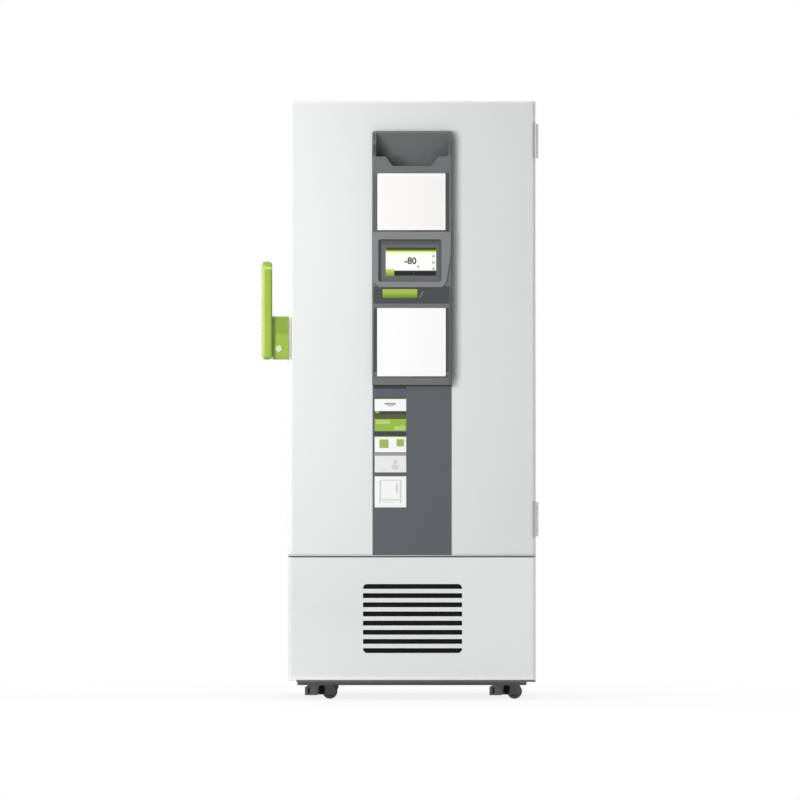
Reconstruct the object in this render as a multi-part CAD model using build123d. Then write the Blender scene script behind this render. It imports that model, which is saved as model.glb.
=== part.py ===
from build123d import *
import math
import os

# Upright ultra low temperature freezer with one main door, two inner doors and a
# service door over the machine compartment. Sizes are in millimetres.
# X runs across the front, Y from front to back, Z up from the floor. Pieces are drawn
# with X = 0 on the cabinet's centre line and Y = 0 on the cabinet's front edge, and are
# moved at the end so that the origin is the bottom centre of the whole object.

# Cabinet
WIDTH = 820.0
DEPTH = 860.0
HEIGHT = 1980.0
SHEET = 2.0
PANEL_BOTTOM = 62.0
SIDE_WALL = 120.0
DOOR_BOTTOM = 478.0
DECK_TOP = 475.0
FLOOR_WALL = 115.0
ROOF_WALL = 115.0
REAR_WALL = 100.0
LINER_SHEET = 1.2
THROAT_LEDGE = 25.0
THROAT_DEPTH = 50.0
FRAME_WALL = 3.0
FRAME_FLANGE = 4.0
REAR_RETURN = 20.0
REAR_RIB_PITCH = 220.0
REAR_RIB_WIDTH = 28.0
REAR_RIB_MARGIN = 90.0
REAR_RIB_PROUD = 4.0
REAR_SLOT_LENGTH = 180.0
REAR_SLOT_HEIGHT = 9.0
REAR_SLOT_PITCH = 24.0
REAR_SLOT_ROWS = 8
REAR_SLOT_START = 230.0
REAR_BANK_X = (-180.0, 120.0)
MULLION_FRONT = 8.0
MULLION_HALF = 10.0

# Main door
DOOR_THICK = 100.0
DOOR_GAP = 12.0
DOOR_EDGE_RADIUS = 13.0
DOOR_TOP_RADIUS = 8.0
INNER_PANEL_SHEET = 3.0
DYKE_INSET = 30.0
DYKE_MARGIN = 120.0
DYKE_RISE = 10.0
GASKET_WIDTH = 24.0
GASKET_INSET = 18.0
SEAL_GAP = 0.3

# Hinges of the main door
HINGE_HEIGHT = 114.0
HINGE_LOW_RISE = 61.0
HINGE_TOP_DROP = 74.0
HINGE_OUT = 4.5
HINGE_BARREL_RADIUS = 5.5
HINGE_PIN_RADIUS = 3.0
HINGE_LEAF = 3.5
HINGE_LEAF_LENGTH = 40.0
RUNNING_FIT = 0.05
END_PLAY = 0.3

# Control column on the main door
COLUMN_LEFT = -132.0
COLUMN_RIGHT = 132.0
COLUMN_HEIGHT = 840.0
COLUMN_TOP_DROP = 100.0
COLUMN_PROUD = 18.0
COLUMN_WALL = 3.0
COLUMN_CORNER = 10.0
POCKET_SIDE_WALL = 14.0
POCKET_TOP_DROP = 8.0
POCKET_MOUTH = 77.0
POCKET_NOTCH_DEPTH = 31.0
POCKET_NOTCH_TOP_HALF = 88.0
POCKET_NOTCH_BOTTOM_HALF = 64.0
POCKET_DEPTH = 272.0
POCKET_CURVE_DROP = 30.0
POCKET_CURVE_SAG = 22.0
POCKET_BACK_DROP = 118.0
POCKET_TUB_DEPTH = 30.0
POCKET_NOTCH_CORNER = 8.0
POCKET_EDGE_DEPTH = 4.0
TOP_SLOT_X = 123.5
TOP_SLOT_WIDTH = 5.0
TOP_SLOT_DROP = 10.0
TOP_SLOT_LENGTH = 22.0
TOP_SLOT_DEPTH = 3.0
COLUMN_EDGE = 2.5
CARD_THICK = 1.2
CARD_RECESS = 1.5
CARD_CORNER = 2.0
CARD_PLAY = 0.5
CARD_BAY_LEFT = -126.5
CARD_BAY_RIGHT = 122.5
CARD_BAY_FOOT = 4.0
UPPER_CARD_DROPS = (-114.7, 111.0, 328.3, 140.0)
LOWER_CARD_DROPS = (-115.7, 112.0, 811.5, 585.0)
STRIP_THICK = 1.5
STRIP_MARGIN = 1.5
DISPLAY_DROPS = (-129.0, 129.0, 517.0, 334.0)
DISPLAY_PROUD = 4.0
DISPLAY_RECESS_DROPS = (-112.0, 99.0, 500.0, 357.0)
DISPLAY_RECESS_DEPTH = 8.0
DISPLAY_WALL = 3.0
DISPLAY_SLOPE = 45.0
DISPLAY_RECESS_CORNER = 10.0
DISPLAY_LEAN_START = 78.0
DISPLAY_LEAN = 15.0
DISPLAY_CHAMFER = 14.0
DISPLAY_LEFT_CHAMFER = 20.0
SCREEN_DROPS = (-87.3, 80.3, 480.5, 386.0)
SCREEN_THICK = 2.0
LIGHT_BAR_DROPS = (-97.2, 17.5, 552.0, 523.0)
BAND_DROPS = (-127.0, 127.0, 571.0, 514.0)
BAND_DEPTH = 1.0
BAR_RECESS_RIGHT = 39.0
BAR_RECESS_SLANT = 12.0
BAR_RECESS_PLAY = 1.5
BAR_RECESS_DEPTH = 2.5
BAR_THICK = 2.0

# Latch on the left edge of the main door
LEVER_OUT = 87.7
LEVER_WIDTH = 36.0
LEVER_BOTTOM = 1124.0
LEVER_TOP = 1448.0
LEVER_FRONT = -140.0
LEVER_THICK = 30.0
LEVER_SIDE_GAP = 0.5
LEVER_END_RADIUS = 13.0
LEVER_CHAMFER = 3.0
LEVER_HUB_MARGIN = 14.0
LEVER_WAIST_RISE = 60.0
LEVER_SOCKET = 12.0
LATCH_BLOCK_TOP = 1268.0
LATCH_BLOCK_FRONT = -125.0
LATCH_BLOCK_REAR = -58.0
LATCH_PIVOT_Y = -92.0
LATCH_PIVOT_Z = 1196.0
LATCH_PIN_RADIUS = 5.0
HOOK_OUT = 40.0
HOOK_THICK = 12.0
HOOK_SLOT_PLAY = 3.0
STRIKE_Y = 30.0
STRIKE_Z = 1180.0
STRIKE_RADIUS = 5.0
STRIKE_LIFT = 0.6
HOOK_TOOTH = 6.5
KEY_OUT = 30.0
KEY_Z = 1160.0
KEY_RADIUS = 10.0
KEY_LENGTH = 16.0
KEY_PROUD = 4.0

# Inner doors and shelves
INNER_DOOR_GAP = 3.0
INNER_DOOR_FRONT = 14.0
INNER_DOOR_THICK = 28.0
INNER_PIN_INSET = 6.0
INNER_PIN_RADIUS = 3.0
INNER_PIN_REACH = 2.8
INNER_SEAL_WIDTH = 14.0
INNER_SEAL_INSET = 8.0
TURN_LATCH_INSET = 27.0
TURN_LATCH_RADIUS = 9.0
TURN_LATCH_REACH = 34.0
TURN_LATCH_THICK = 7.0
RAIL_WIDTH = 20.0
RAIL_DEPTH = 4.0
RAIL_FRONT_SETBACK = 90.0
RAIL_REAR_GAP = 80.0
RAIL_SLOTS = 14
SHELF_SHEET = 2.0
SHELF_LIP = 18.0
SHELF_SIDE_GAP = 2.0
SHELF_FRONT_GAP = 17.0
SHELF_REAR_GAP = 15.0
SHELF_COUNT = 3
CLIP_REACH = 16.0
CLIP_HEIGHT = 14.0

# Service door over the machine compartment
FRONT_FACE_DEPTH = 112.0
SERVICE_BOTTOM = 64.0
SERVICE_TOP = 470.0
SERVICE_THICK = 35.0
SERVICE_PIN_INSET = 8.0
SERVICE_PIN_RADIUS = 3.0
SERVICE_RETURN = 15.0
CHEEK_GAP = 3.0
LEDGE_SETBACK = 10.0
GRILLE_LEFT = -162.0
GRILLE_RIGHT = 165.6
GRILLE_TOP = 382.0
GRILLE_SLOTS = 8
GRILLE_PITCH = 30.3
GRILLE_SLOT_HEIGHT = 16.0
GRILLE_CORNER = 14.0
FILTER_THICK = 14.0
FILTER_MARGIN = 14.0

# Base
FRAME_BOTTOM = 48.6
FRAME_FLOOR = 76.0
FRAME_SHEET = 4.0
SKIRT_SIDE_INSET = 27.0
SKIRT_FRONT = -60.0
SKIRT_REAR_INSET = 20.0
SKIRT_TAPER = 8.0
SKIRT_CORNER = 12.0
SKIRT_JOINT_INSET = 14.0
EAR_REACH = 24.0
EAR_ROOT = 8.0
EAR_MARGIN = 9.0
PAN_CORNER = 20.0
PAN_HALF_WIDTH = 243.0
PAN_FRONT = 80.0
PAN_CASTER_GAP = 75.0
PAN_BOTTOM = 50.0
PAN_SHEET = 1.5
PAN_FLANGE = 12.0
WELL_CENTRES = (-61.0, 178.0)
WELL_Y = 330.0
WELL_RADIUS = 52.5
WELL_DEPTH = 7.4
EAR_TOP = 61.0
EAR_THICK = 3.0

# Casters
CASTER_SIDE_INSET = 77.0
CASTER_FRONT_INSET = 68.0
CASTER_REAR_INSET = 65.0
CASTER_TRAIL = 34.0
WHEEL_RADIUS = 25.0
WHEEL_WIDTH = 20.0
AXLE_RADIUS = 4.0
FORK_SHEET = 3.0
FORK_INNER = 11.5
CROWN_BOTTOM = 54.0
RACE_RADIUS = 20.0
PLATE_THICK = 3.0
PLATE_LENGTH = 84.0
PLATE_WIDTH = 70.0
KINGPIN_RADIUS = 6.0
PEDAL_REACH = 49.0
PEDAL_HALF_WIDTH = 19.0
PEDAL_BOTTOM = 12.0
PEDAL_PIVOT_X = -6.0
PEDAL_PIVOT_Z = 46.0
PEDAL_PIN_RADIUS = 2.5
PEDAL_RISE = 4.0
PEDAL_EYE = 6.0
PEDAL_SHOULDER = 30.0
PEDAL_NOSE_DROP = 8.0
PEDAL_PAD_REAR = 25.0
PEDAL_CHEEK_REAR = 8.0
PEDAL_ARM_DROP = 14.0
PEDAL_SLOT_INSET = 9.0
PEDAL_SLOT_LENGTH = 8.0
PEDAL_SLOT_DEPTH = 10.0
PEDAL_SLOT_FLOOR = 5.0
PEDAL_PIN_END = 6.0
PLATE_CORNER = 8.0
PLATE_BOLT_X = 32.0
PLATE_BOLT_Y = 25.0
BOLT_RADIUS = 6.0
BOLT_HEAD = 4.0
RACE_FLARE = 2.0
CROWN_MARGIN = 4.0
LEG_TOP_HALF = 20.0
LEG_REACH = 20.0
LEG_LEAN = 4.0
LEG_SHOULDER = 14.0
LEG_FOOT = 14.0
LEG_FRONT = 12.0
LEG_ROUND = 6.0
AXLE_END = 2.5
TREAD_DEPTH = 8.0
TREAD_ROUND = 4.0
WEB_HALF = 4.0
WHEEL_HUB_WALL = 5.0

# Machine compartment
COMPRESSOR_RADIUS = 88.0
COMPRESSOR_BOTTOM = 85.0
COMPRESSOR_TOP = 310.0
SHELL_ROUND = 42.0
SEAM_PROUD = 4.0
SEAM_HALF = 3.0
FOOT_CORNER = 12.0
FOOT_THICK = 3.0
STUB_WALL = 1.5
COVER_HALF = 30.0
COVER_PROUD = 12.0
COVER_DROP = 14.0
COVER_HEIGHT = 52.0
COVER_CORNER = 8.0
MOUNT_GROOVE = 3.0
FIN_DROP = 10.0
TUBE_OUT = 4.0
SHROUD_CORNER = 6.0
SHROUD_WALL = 3.0
ARM_THICK = 6.0
ARM_HALF = 5.0
MOTOR_ROUND = 8.0
HUB_ROUND = 6.0
ROOT_PITCH = 55.0
ROOT_CHORD = 24.0
TIP_PITCH = 20.0
TIP_CHORD = 52.0
COMPRESSOR_FOOT = 116.0
MOUNT_RADIUS = 11.0
COIL_HALF_WIDTH = 168.0
COIL_FRONT = -62.0
COIL_DEPTH = 50.0
COIL_BOTTOM = 80.0
COIL_TOP = 400.0
COIL_FINS = 18
COIL_ROWS = 5
COIL_ROW_PITCH = 56.0
TUBE_RADIUS = 5.0
FAN_RADIUS = 122.0
FAN_HOLE_RADIUS = 126.0
FAN_BLADES = 5
FAN_Z = 255.0
FAN_HUB_RADIUS = 30.0
FAN_DEPTH = 26.0
SHROUD_DEPTH = 44.0
MOTOR_RADIUS = 36.0
MOTOR_LENGTH = 60.0
MOTOR_SHAFT_RADIUS = 5.0
EXCHANGER_WIDTH = 136.0
EXCHANGER_HEIGHT = 360.0
EXCHANGER_FRONT = 200.0
EXCHANGER_REAR_GAP = 98.0
MACHINE_SIDE_GAP = 10.0
SUCTION_REAR_GAP = 200.0
SUCTION_DROP = 48.0
STUB_OFFSET = (34.0, -30.0)
STUB_REACH = 12.0
BOX_WIDTH = 102.0
BOX_SETBACK = 24.0
BOX_LENGTH = 280.0
BOX_HEIGHT = 300.0
INLET_SIDE_INSET = 110.0
INLET_Z = 150.0
SPACER_SIDE_INSET = 80.0
SPACER_LOW_RISE = 165.0
SPACER_TOP_DROP = 130.0
SPACER_LENGTH = 25.0
SPACER_RADIUS = 20.0

# Values that follow from the sizes above
HALF = WIDTH / 2
INNER_HALF = HALF - SHEET
CAVITY_HALF = HALF - SIDE_WALL
CAVITY_BOTTOM = DECK_TOP + FLOOR_WALL
CAVITY_TOP = HEIGHT - ROOF_WALL
CAVITY_REAR = DEPTH - REAR_WALL
THROAT_HALF = CAVITY_HALF + THROAT_LEDGE
THROAT_BOTTOM = CAVITY_BOTTOM - THROAT_LEDGE
THROAT_TOP = CAVITY_TOP + THROAT_LEDGE
MULLION_Z = (THROAT_BOTTOM + THROAT_TOP) / 2
DOOR_REAR = -DOOR_GAP
DOOR_FRONT = DOOR_REAR - DOOR_THICK
PANEL_FACE = DOOR_REAR - INNER_PANEL_SHEET
HINGE_X = HALF + HINGE_OUT
HINGE_Y = -DOOR_GAP / 2
HINGE_BOTTOMS = (DOOR_BOTTOM + HINGE_LOW_RISE, HEIGHT - HINGE_TOP_DROP - HINGE_HEIGHT)
COLUMN_TOP = HEIGHT - COLUMN_TOP_DROP
COLUMN_BOTTOM = COLUMN_TOP - COLUMN_HEIGHT
COLUMN_FRONT = DOOR_FRONT - COLUMN_PROUD
COLUMN_BACK = COLUMN_FRONT + COLUMN_WALL
POCKET_BACK = DOOR_FRONT + POCKET_TUB_DEPTH
POCKET_HALF = COLUMN_RIGHT - POCKET_SIDE_WALL
POCKET_TOP = COLUMN_TOP - POCKET_TOP_DROP
POCKET_LIP = POCKET_TOP - POCKET_MOUTH
POCKET_NOTCH_BOTTOM = POCKET_LIP - POCKET_NOTCH_DEPTH
POCKET_FLOOR = POCKET_TOP - POCKET_DEPTH
LEVER_LEFT = -HALF - LEVER_OUT
HOOK_LEFT = -HALF - HOOK_OUT
KEY_X = -HALF - KEY_OUT
BLOCK_LEFT = LEVER_LEFT + LEVER_WIDTH + LEVER_SIDE_GAP
SERVICE_FRONT = -FRONT_FACE_DEPTH
SERVICE_REAR = SERVICE_FRONT + SERVICE_THICK
SERVICE_PIN_X = HALF - SERVICE_PIN_INSET
SERVICE_PIN_Y = SERVICE_FRONT + SERVICE_THICK / 2
CHEEK_FRONT = SERVICE_REAR + CHEEK_GAP
LEDGE_FRONT = SERVICE_FRONT + LEDGE_SETBACK
FLOOR_TOP = FRAME_FLOOR + FRAME_SHEET
INNER_PIN_X = THROAT_HALF - INNER_DOOR_GAP - INNER_PIN_INSET
INNER_PIN_Y = INNER_DOOR_FRONT + INNER_PIN_INSET
TURN_LATCH_X = -THROAT_HALF + INNER_DOOR_GAP + TURN_LATCH_INSET
DYKE_HALF_WIDTH = THROAT_HALF - DYKE_INSET
RAIL_Y = (THROAT_DEPTH + RAIL_FRONT_SETBACK, CAVITY_REAR - RAIL_REAR_GAP)
SHELF_FRONT = THROAT_DEPTH + FRAME_WALL + SHELF_FRONT_GAP
SHELF_REAR = CAVITY_REAR - SHELF_REAR_GAP
SHELF_PITCH = (CAVITY_TOP - CAVITY_BOTTOM) / (SHELF_COUNT + 1)
SHELF_TOPS = [CAVITY_BOTTOM + SHELF_PITCH * (number + 1) for number in range(SHELF_COUNT)]
SKIRT_HALF_WIDTH = HALF - SKIRT_SIDE_INSET
SKIRT_REAR = DEPTH - SKIRT_REAR_INSET
CASTER_X = SKIRT_HALF_WIDTH - CASTER_SIDE_INSET
CASTER_Y = (SKIRT_FRONT + CASTER_FRONT_INSET, SKIRT_REAR - CASTER_REAR_INSET)
PAN_REAR = CASTER_Y[1] - PAN_CASTER_GAP
PLATE_BOTTOM = FRAME_FLOOR - PLATE_THICK
RACE_BOTTOM = CROWN_BOTTOM + FORK_SHEET + END_PLAY
FAN_Y = COIL_FRONT + COIL_DEPTH + 6.0
STUB_TOP = COMPRESSOR_TOP + STUB_REACH
EXCHANGER_LEFT = -INNER_HALF + MACHINE_SIDE_GAP
EXCHANGER = (EXCHANGER_LEFT, EXCHANGER_LEFT + EXCHANGER_WIDTH, EXCHANGER_FRONT,
             DEPTH - SHEET - EXCHANGER_REAR_GAP, FLOOR_TOP, FLOOR_TOP + EXCHANGER_HEIGHT)
LIQUID_X = EXCHANGER_LEFT + EXCHANGER_WIDTH / 2
SUCTION_Y = EXCHANGER[3] - SUCTION_REAR_GAP
SUCTION_Z = EXCHANGER[5] - SUCTION_DROP
BOX_RIGHT = INNER_HALF - MACHINE_SIDE_GAP
BOX_FRONT = CHEEK_FRONT + BOX_SETBACK
ELECTRICAL_BOX = (BOX_RIGHT - BOX_WIDTH, BOX_RIGHT, BOX_FRONT, BOX_FRONT + BOX_LENGTH,
                  FLOOR_TOP, FLOOR_TOP + BOX_HEIGHT)
INLET_X = HALF - INLET_SIDE_INSET
SPACER_X = HALF - SPACER_SIDE_INSET
SPACER_Z = (DECK_TOP + SPACER_LOW_RISE, HEIGHT - SPACER_TOP_DROP)


def below_column_top(drops):
    """Left, right, bottom and top of a field given by how far its ends lie below the column's top."""
    left, right, low, high = drops
    return (left, right, COLUMN_TOP - low, COLUMN_TOP - high)


UPPER_CARD = below_column_top(UPPER_CARD_DROPS)
LOWER_CARD = below_column_top(LOWER_CARD_DROPS)
DISPLAY = below_column_top(DISPLAY_DROPS)
DISPLAY_RECESS = below_column_top(DISPLAY_RECESS_DROPS)
SCREEN = below_column_top(SCREEN_DROPS)
BAND = below_column_top(BAND_DROPS)
LIGHT_BAR = below_column_top(LIGHT_BAR_DROPS)


def span(x0, x1, y0, y1, z0, z1):
    """Block between two corners."""
    middle = ((x0 + x1) / 2, (y0 + y1) / 2, (z0 + z1) / 2)
    return Pos(*middle) * Box(x1 - x0, y1 - y0, z1 - z0)


def plate_sketch(limits, radius=0.0):
    """Rectangle with rounded corners, from its left, right, bottom and top."""
    left, right, bottom, top = limits
    if radius > 0:
        shape = RectangleRounded(right - left, top - bottom, radius)
    else:
        shape = Rectangle(right - left, top - bottom)
    return Pos((left + right) / 2, (bottom + top) / 2) * shape


def from_front(sketch, y0, y1):
    """Extrude a sketch drawn as seen from the front, from depth y0 to depth y1."""
    plane = Plane(origin=(0, y1, 0), x_dir=(1, 0, 0), z_dir=(0, -1, 0))
    return extrude(plane * sketch, amount=y1 - y0)


def from_side(sketch, x0, x1):
    """Extrude a sketch of depth and height from x0 to x1."""
    plane = Plane(origin=(x0, 0, 0), x_dir=(0, 1, 0), z_dir=(1, 0, 0))
    return extrude(plane * sketch, amount=x1 - x0)


def from_top(sketch, z0, z1):
    """Extrude a plan sketch from height z0 to height z1."""
    return extrude(Plane.XY.offset(z0) * sketch, amount=z1 - z0)


def grown(limits, margin):
    """Limits moved outwards by a margin on all four sides."""
    left, right, bottom, top = limits
    return (left - margin, right + margin, bottom - margin, top + margin)


def rod(start, end, radius):
    """Round bar between two points."""
    run = Vector(*end) - Vector(*start)
    return extrude(Plane(origin=start, z_dir=run) * Circle(radius), amount=run.length)


def pipe(points, bend, radius):
    """Round tube along straight runs joined by bends."""
    path = FilletPolyline(*points, radius=bend)
    section = Plane(origin=path @ 0, z_dir=path % 0) * Circle(radius)
    return sweep(section, path=path)


def front_rounded_plan(half, front, rear, radius):
    """Plan of a tray whose two front corners are rounded."""
    shape = plate_sketch((-half, half, front, rear))
    return fillet(shape.vertices().group_by(Axis.Y)[0], radius)


# Cabinet

def side_panels():
    """Two side sheets, each with its rear edge folded in."""
    plan = plate_sketch((INNER_HALF, HALF, 0, DEPTH))
    plan += plate_sketch((HALF - REAR_RETURN, HALF, DEPTH - SHEET, DEPTH))
    right = from_top(plan, PANEL_BOTTOM, HEIGHT - SHEET)
    return [right, mirror(right, Plane.YZ)]


def top_panel():
    """Roof sheet with a pressed stiffening field."""
    roof = span(-HALF, HALF, 0, DEPTH, HEIGHT - SHEET, HEIGHT)
    edge = roof.edges().filter_by(Axis.Y).group_by(Axis.Z)[-1]
    return fillet(edge, SHEET * 0.8)


def rear_panel():
    """Rear sheet between the folded edges, with three pressed ribs."""
    half = HALF - REAR_RETURN
    sheet = span(-half, half, DEPTH - SHEET, DEPTH, DECK_TOP, HEIGHT - SHEET)
    ends = (DECK_TOP + REAR_RIB_MARGIN, HEIGHT - REAR_RIB_MARGIN)
    rib = plate_sketch((-REAR_RIB_WIDTH / 2, REAR_RIB_WIDTH / 2, *ends), REAR_RIB_WIDTH / 2 - 1)
    for rib_x in (-REAR_RIB_PITCH, 0, REAR_RIB_PITCH):
        sheet += from_front(Pos(rib_x, 0) * rib, DEPTH, DEPTH + REAR_RIB_PROUD)
    return sheet


def rear_machine_cover():
    """Rear cover of the machine compartment, with two banks of slots and the inlet hole."""
    half = HALF - REAR_RETURN
    cover = span(-half, half, DEPTH - SHEET, DEPTH, FLOOR_TOP, DECK_TOP)
    slot = SlotOverall(REAR_SLOT_LENGTH, REAR_SLOT_HEIGHT)
    bank = [Pos(bank_x, REAR_SLOT_START + REAR_SLOT_PITCH * row) * slot
            for bank_x in REAR_BANK_X for row in range(REAR_SLOT_ROWS)]
    cover -= from_front(Sketch() + bank, DEPTH - SHEET - 1, DEPTH + 1)
    return cover - from_front(plate_sketch(inlet_body_limits()), DEPTH - SHEET - 1, DEPTH + 1)


def inlet_body_limits():
    """Left, right, bottom and top of the power inlet's body."""
    return (INLET_X - 16, INLET_X + 16, INLET_Z - 12, INLET_Z + 12)


def power_inlet():
    """Appliance inlet: a flange, a body with a socket and three pins."""
    body = from_front(plate_sketch(inlet_body_limits(), 3), DEPTH - 26, DEPTH)
    body += from_front(plate_sketch(grown(inlet_body_limits(), 8), 4), DEPTH, DEPTH + 3)
    body -= from_front(plate_sketch(grown(inlet_body_limits(), -3), 2), DEPTH - 20, DEPTH + 4)
    for pin_x, pin_z in ((-7, -3), (0, 3), (7, -3)):
        x, z = INLET_X + pin_x, INLET_Z + pin_z
        body += span(x - 1, x + 1, DEPTH - 21, DEPTH - 5, z - 2.5, z + 2.5)
    return body


def rear_spacers():
    """Four tapered spacers that keep the cabinet off the wall."""
    spacer = extrude(Circle(SPACER_RADIUS), amount=SPACER_LENGTH, taper=8)
    back = [(side * SPACER_X, height) for side in (-1, 1) for height in SPACER_Z]
    return [Pos(x, DEPTH, z) * Rot(-90, 0, 0) * spacer for x, z in back]


def throat_envelope():
    """Space that the plastic front frame takes out of the foam."""
    wide = THROAT_HALF + FRAME_WALL
    space = span(-wide, wide, -1, THROAT_DEPTH + FRAME_WALL,
                 THROAT_BOTTOM - FRAME_WALL, THROAT_TOP + FRAME_WALL)
    return space + span(-HALF, HALF, -1, FRAME_FLANGE, DECK_TOP - 1, HEIGHT)


def cavity(margin):
    """The stored space, grown by a margin, and open at the front."""
    half = CAVITY_HALF + margin
    return span(-half, half, THROAT_DEPTH, CAVITY_REAR + margin,
                CAVITY_BOTTOM - margin, CAVITY_TOP + margin)


def cabinet_insulation():
    """Foam between the outer sheets and the liner."""
    foam = span(-INNER_HALF, INNER_HALF, FRAME_FLANGE, DEPTH - SHEET, DECK_TOP, HEIGHT - SHEET)
    return foam - throat_envelope() - cavity(LINER_SHEET)


def inner_liner():
    """Stainless box that holds the shelves."""
    space = span(-2 * HALF, 2 * HALF, THROAT_DEPTH + FRAME_WALL, DEPTH, 0, HEIGHT)
    return (cavity(LINER_SHEET) & space) - cavity(0)


def front_frame():
    """Plastic frame round the opening: flange, throat and the ledge the inner doors seal on."""
    outline = plate_sketch((-INNER_HALF, INNER_HALF, DECK_TOP, HEIGHT - SHEET))
    throat = (-THROAT_HALF, THROAT_HALF, THROAT_BOTTOM, THROAT_TOP)
    opening = (-CAVITY_HALF, CAVITY_HALF, CAVITY_BOTTOM, CAVITY_TOP)
    wall = plate_sketch(grown(throat, FRAME_WALL))
    frame = from_front(outline - plate_sketch(throat), 0, FRAME_FLANGE)
    frame += from_front(wall - plate_sketch(throat), FRAME_FLANGE, THROAT_DEPTH)
    frame += from_front(wall - plate_sketch(opening), THROAT_DEPTH, THROAT_DEPTH + FRAME_WALL)
    for low in (THROAT_BOTTOM - FRAME_WALL, THROAT_TOP):
        frame -= rod((INNER_PIN_X, INNER_PIN_Y, low - 1),
                     (INNER_PIN_X, INNER_PIN_Y, low + FRAME_WALL + 1), INNER_PIN_RADIUS + RUNNING_FIT)
    return frame


def cabinet_mullion():
    """Bar across the throat between the two inner doors, with a T section."""
    web = plate_sketch((MULLION_FRONT, THROAT_DEPTH, MULLION_Z - MULLION_HALF, MULLION_Z + MULLION_HALF))
    wide = MULLION_HALF + THROAT_LEDGE
    flange = plate_sketch((THROAT_DEPTH, THROAT_DEPTH + FRAME_WALL, MULLION_Z - wide, MULLION_Z + wide))
    bar = from_side(web, -THROAT_HALF, THROAT_HALF) + from_side(flange, -CAVITY_HALF, CAVITY_HALF)
    pin_hole = rod((INNER_PIN_X, INNER_PIN_Y, MULLION_Z - MULLION_HALF - 1),
                   (INNER_PIN_X, INNER_PIN_Y, MULLION_Z + MULLION_HALF + 1), INNER_PIN_RADIUS + RUNNING_FIT)
    return bar - pin_hole


def shelf_rails():
    """Four slotted rails on the liner's walls, and the clips that carry the shelves."""
    low, high = CAVITY_BOTTOM + 12, CAVITY_TOP - 12
    face = CAVITY_HALF - RAIL_DEPTH
    rail = span(face, CAVITY_HALF, -RAIL_WIDTH / 2, RAIL_WIDTH / 2, low, high)
    rail -= span(face + 1.2, CAVITY_HALF + 1, -RAIL_WIDTH / 2 + 3, RAIL_WIDTH / 2 - 3, low - 1, high + 1)
    pitch = (high - low) / RAIL_SLOTS
    for slot in range(RAIL_SLOTS):
        z = low + pitch * (slot + 0.5)
        rail -= span(face - 1, face + 2, -2, 2, z - 7, z + 7)
    solids = []
    for rail_y in RAIL_Y:
        placed = Pos(0, rail_y, 0) * rail
        solids += [placed, mirror(placed, Plane.YZ)]
        for top in SHELF_TOPS:
            clip = Pos(0, rail_y, 0) * shelf_clip(face, top - SHELF_SHEET)
            solids += [clip, mirror(clip, Plane.YZ)]
    return solids


def shelf_clip(face, seat):
    """Folded clip under a shelf: a flat seat on a triangular bracket."""
    outline = Polyline((face, seat), (face - CLIP_REACH, seat), (face - CLIP_REACH, seat - 3),
                       (face, seat - CLIP_HEIGHT), close=True)
    plane = Plane(origin=(0, RAIL_WIDTH / 2 - 3, 0), x_dir=(1, 0, 0), z_dir=(0, -1, 0))
    return extrude(plane * make_face(outline), amount=RAIL_WIDTH - 6)


def shelves():
    """Stainless shelves with front and rear edges turned down."""
    half = CAVITY_HALF - RAIL_DEPTH - SHELF_SIDE_GAP
    profile = plate_sketch((SHELF_FRONT, SHELF_REAR, -SHELF_SHEET, 0))
    profile += plate_sketch((SHELF_FRONT, SHELF_FRONT + SHELF_SHEET, -SHELF_LIP, 0))
    profile += plate_sketch((SHELF_REAR - SHELF_SHEET, SHELF_REAR, -SHELF_LIP, 0))
    shelf = from_side(profile, -half, half)
    return [Pos(0, 0, top) * shelf for top in SHELF_TOPS]


def machine_deck():
    """Sheet between the cold box and the machines, whose front is the ledge under the door."""
    deck = span(-INNER_HALF, INNER_HALF, 0, DEPTH - SHEET, DECK_TOP - SHEET, DECK_TOP)
    deck += span(-HALF + 1, HALF - 1, LEDGE_FRONT, 0, DECK_TOP - SHEET, DECK_TOP)
    hole = rod((SERVICE_PIN_X, SERVICE_PIN_Y, DECK_TOP - 5), (SERVICE_PIN_X, SERVICE_PIN_Y, DECK_TOP + 5),
               SERVICE_PIN_RADIUS + RUNNING_FIT)
    return deck - hole


def front_cheeks():
    """Two folded sheets that carry the machine compartment's sides forward under the door."""
    plan = plate_sketch((INNER_HALF, HALF, CHEEK_FRONT, 0))
    plan += plate_sketch((INNER_HALF - 18, HALF, CHEEK_FRONT, CHEEK_FRONT + SHEET))
    right = from_top(plan, PANEL_BOTTOM, DECK_TOP - SHEET)
    return [right, mirror(right, Plane.YZ)]


# Base and casters

def base_frame():
    """Floor plate of the base, open over the pan."""
    floor = span(-INNER_HALF, INNER_HALF, CHEEK_FRONT + SHEET, DEPTH - SHEET, FRAME_FLOOR, FLOOR_TOP)
    return floor - from_top(pan_sketch(RUNNING_FIT), FRAME_FLOOR - 1, FLOOR_TOP + 1)


def skirt_shape(inset):
    """Tapered block inside the skirt's outer face, set in by a thickness."""
    half = SKIRT_HALF_WIDTH - inset
    plan = plate_sketch((-half, half, -SKIRT_REAR + inset, -SKIRT_FRONT - inset),
                        SKIRT_CORNER - inset)
    down = Plane(origin=(0, 0, FRAME_FLOOR), x_dir=(1, 0, 0), z_dir=(0, 0, -1))
    return extrude(down * plan, amount=FRAME_FLOOR - FRAME_BOTTOM, taper=SKIRT_TAPER)


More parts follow.
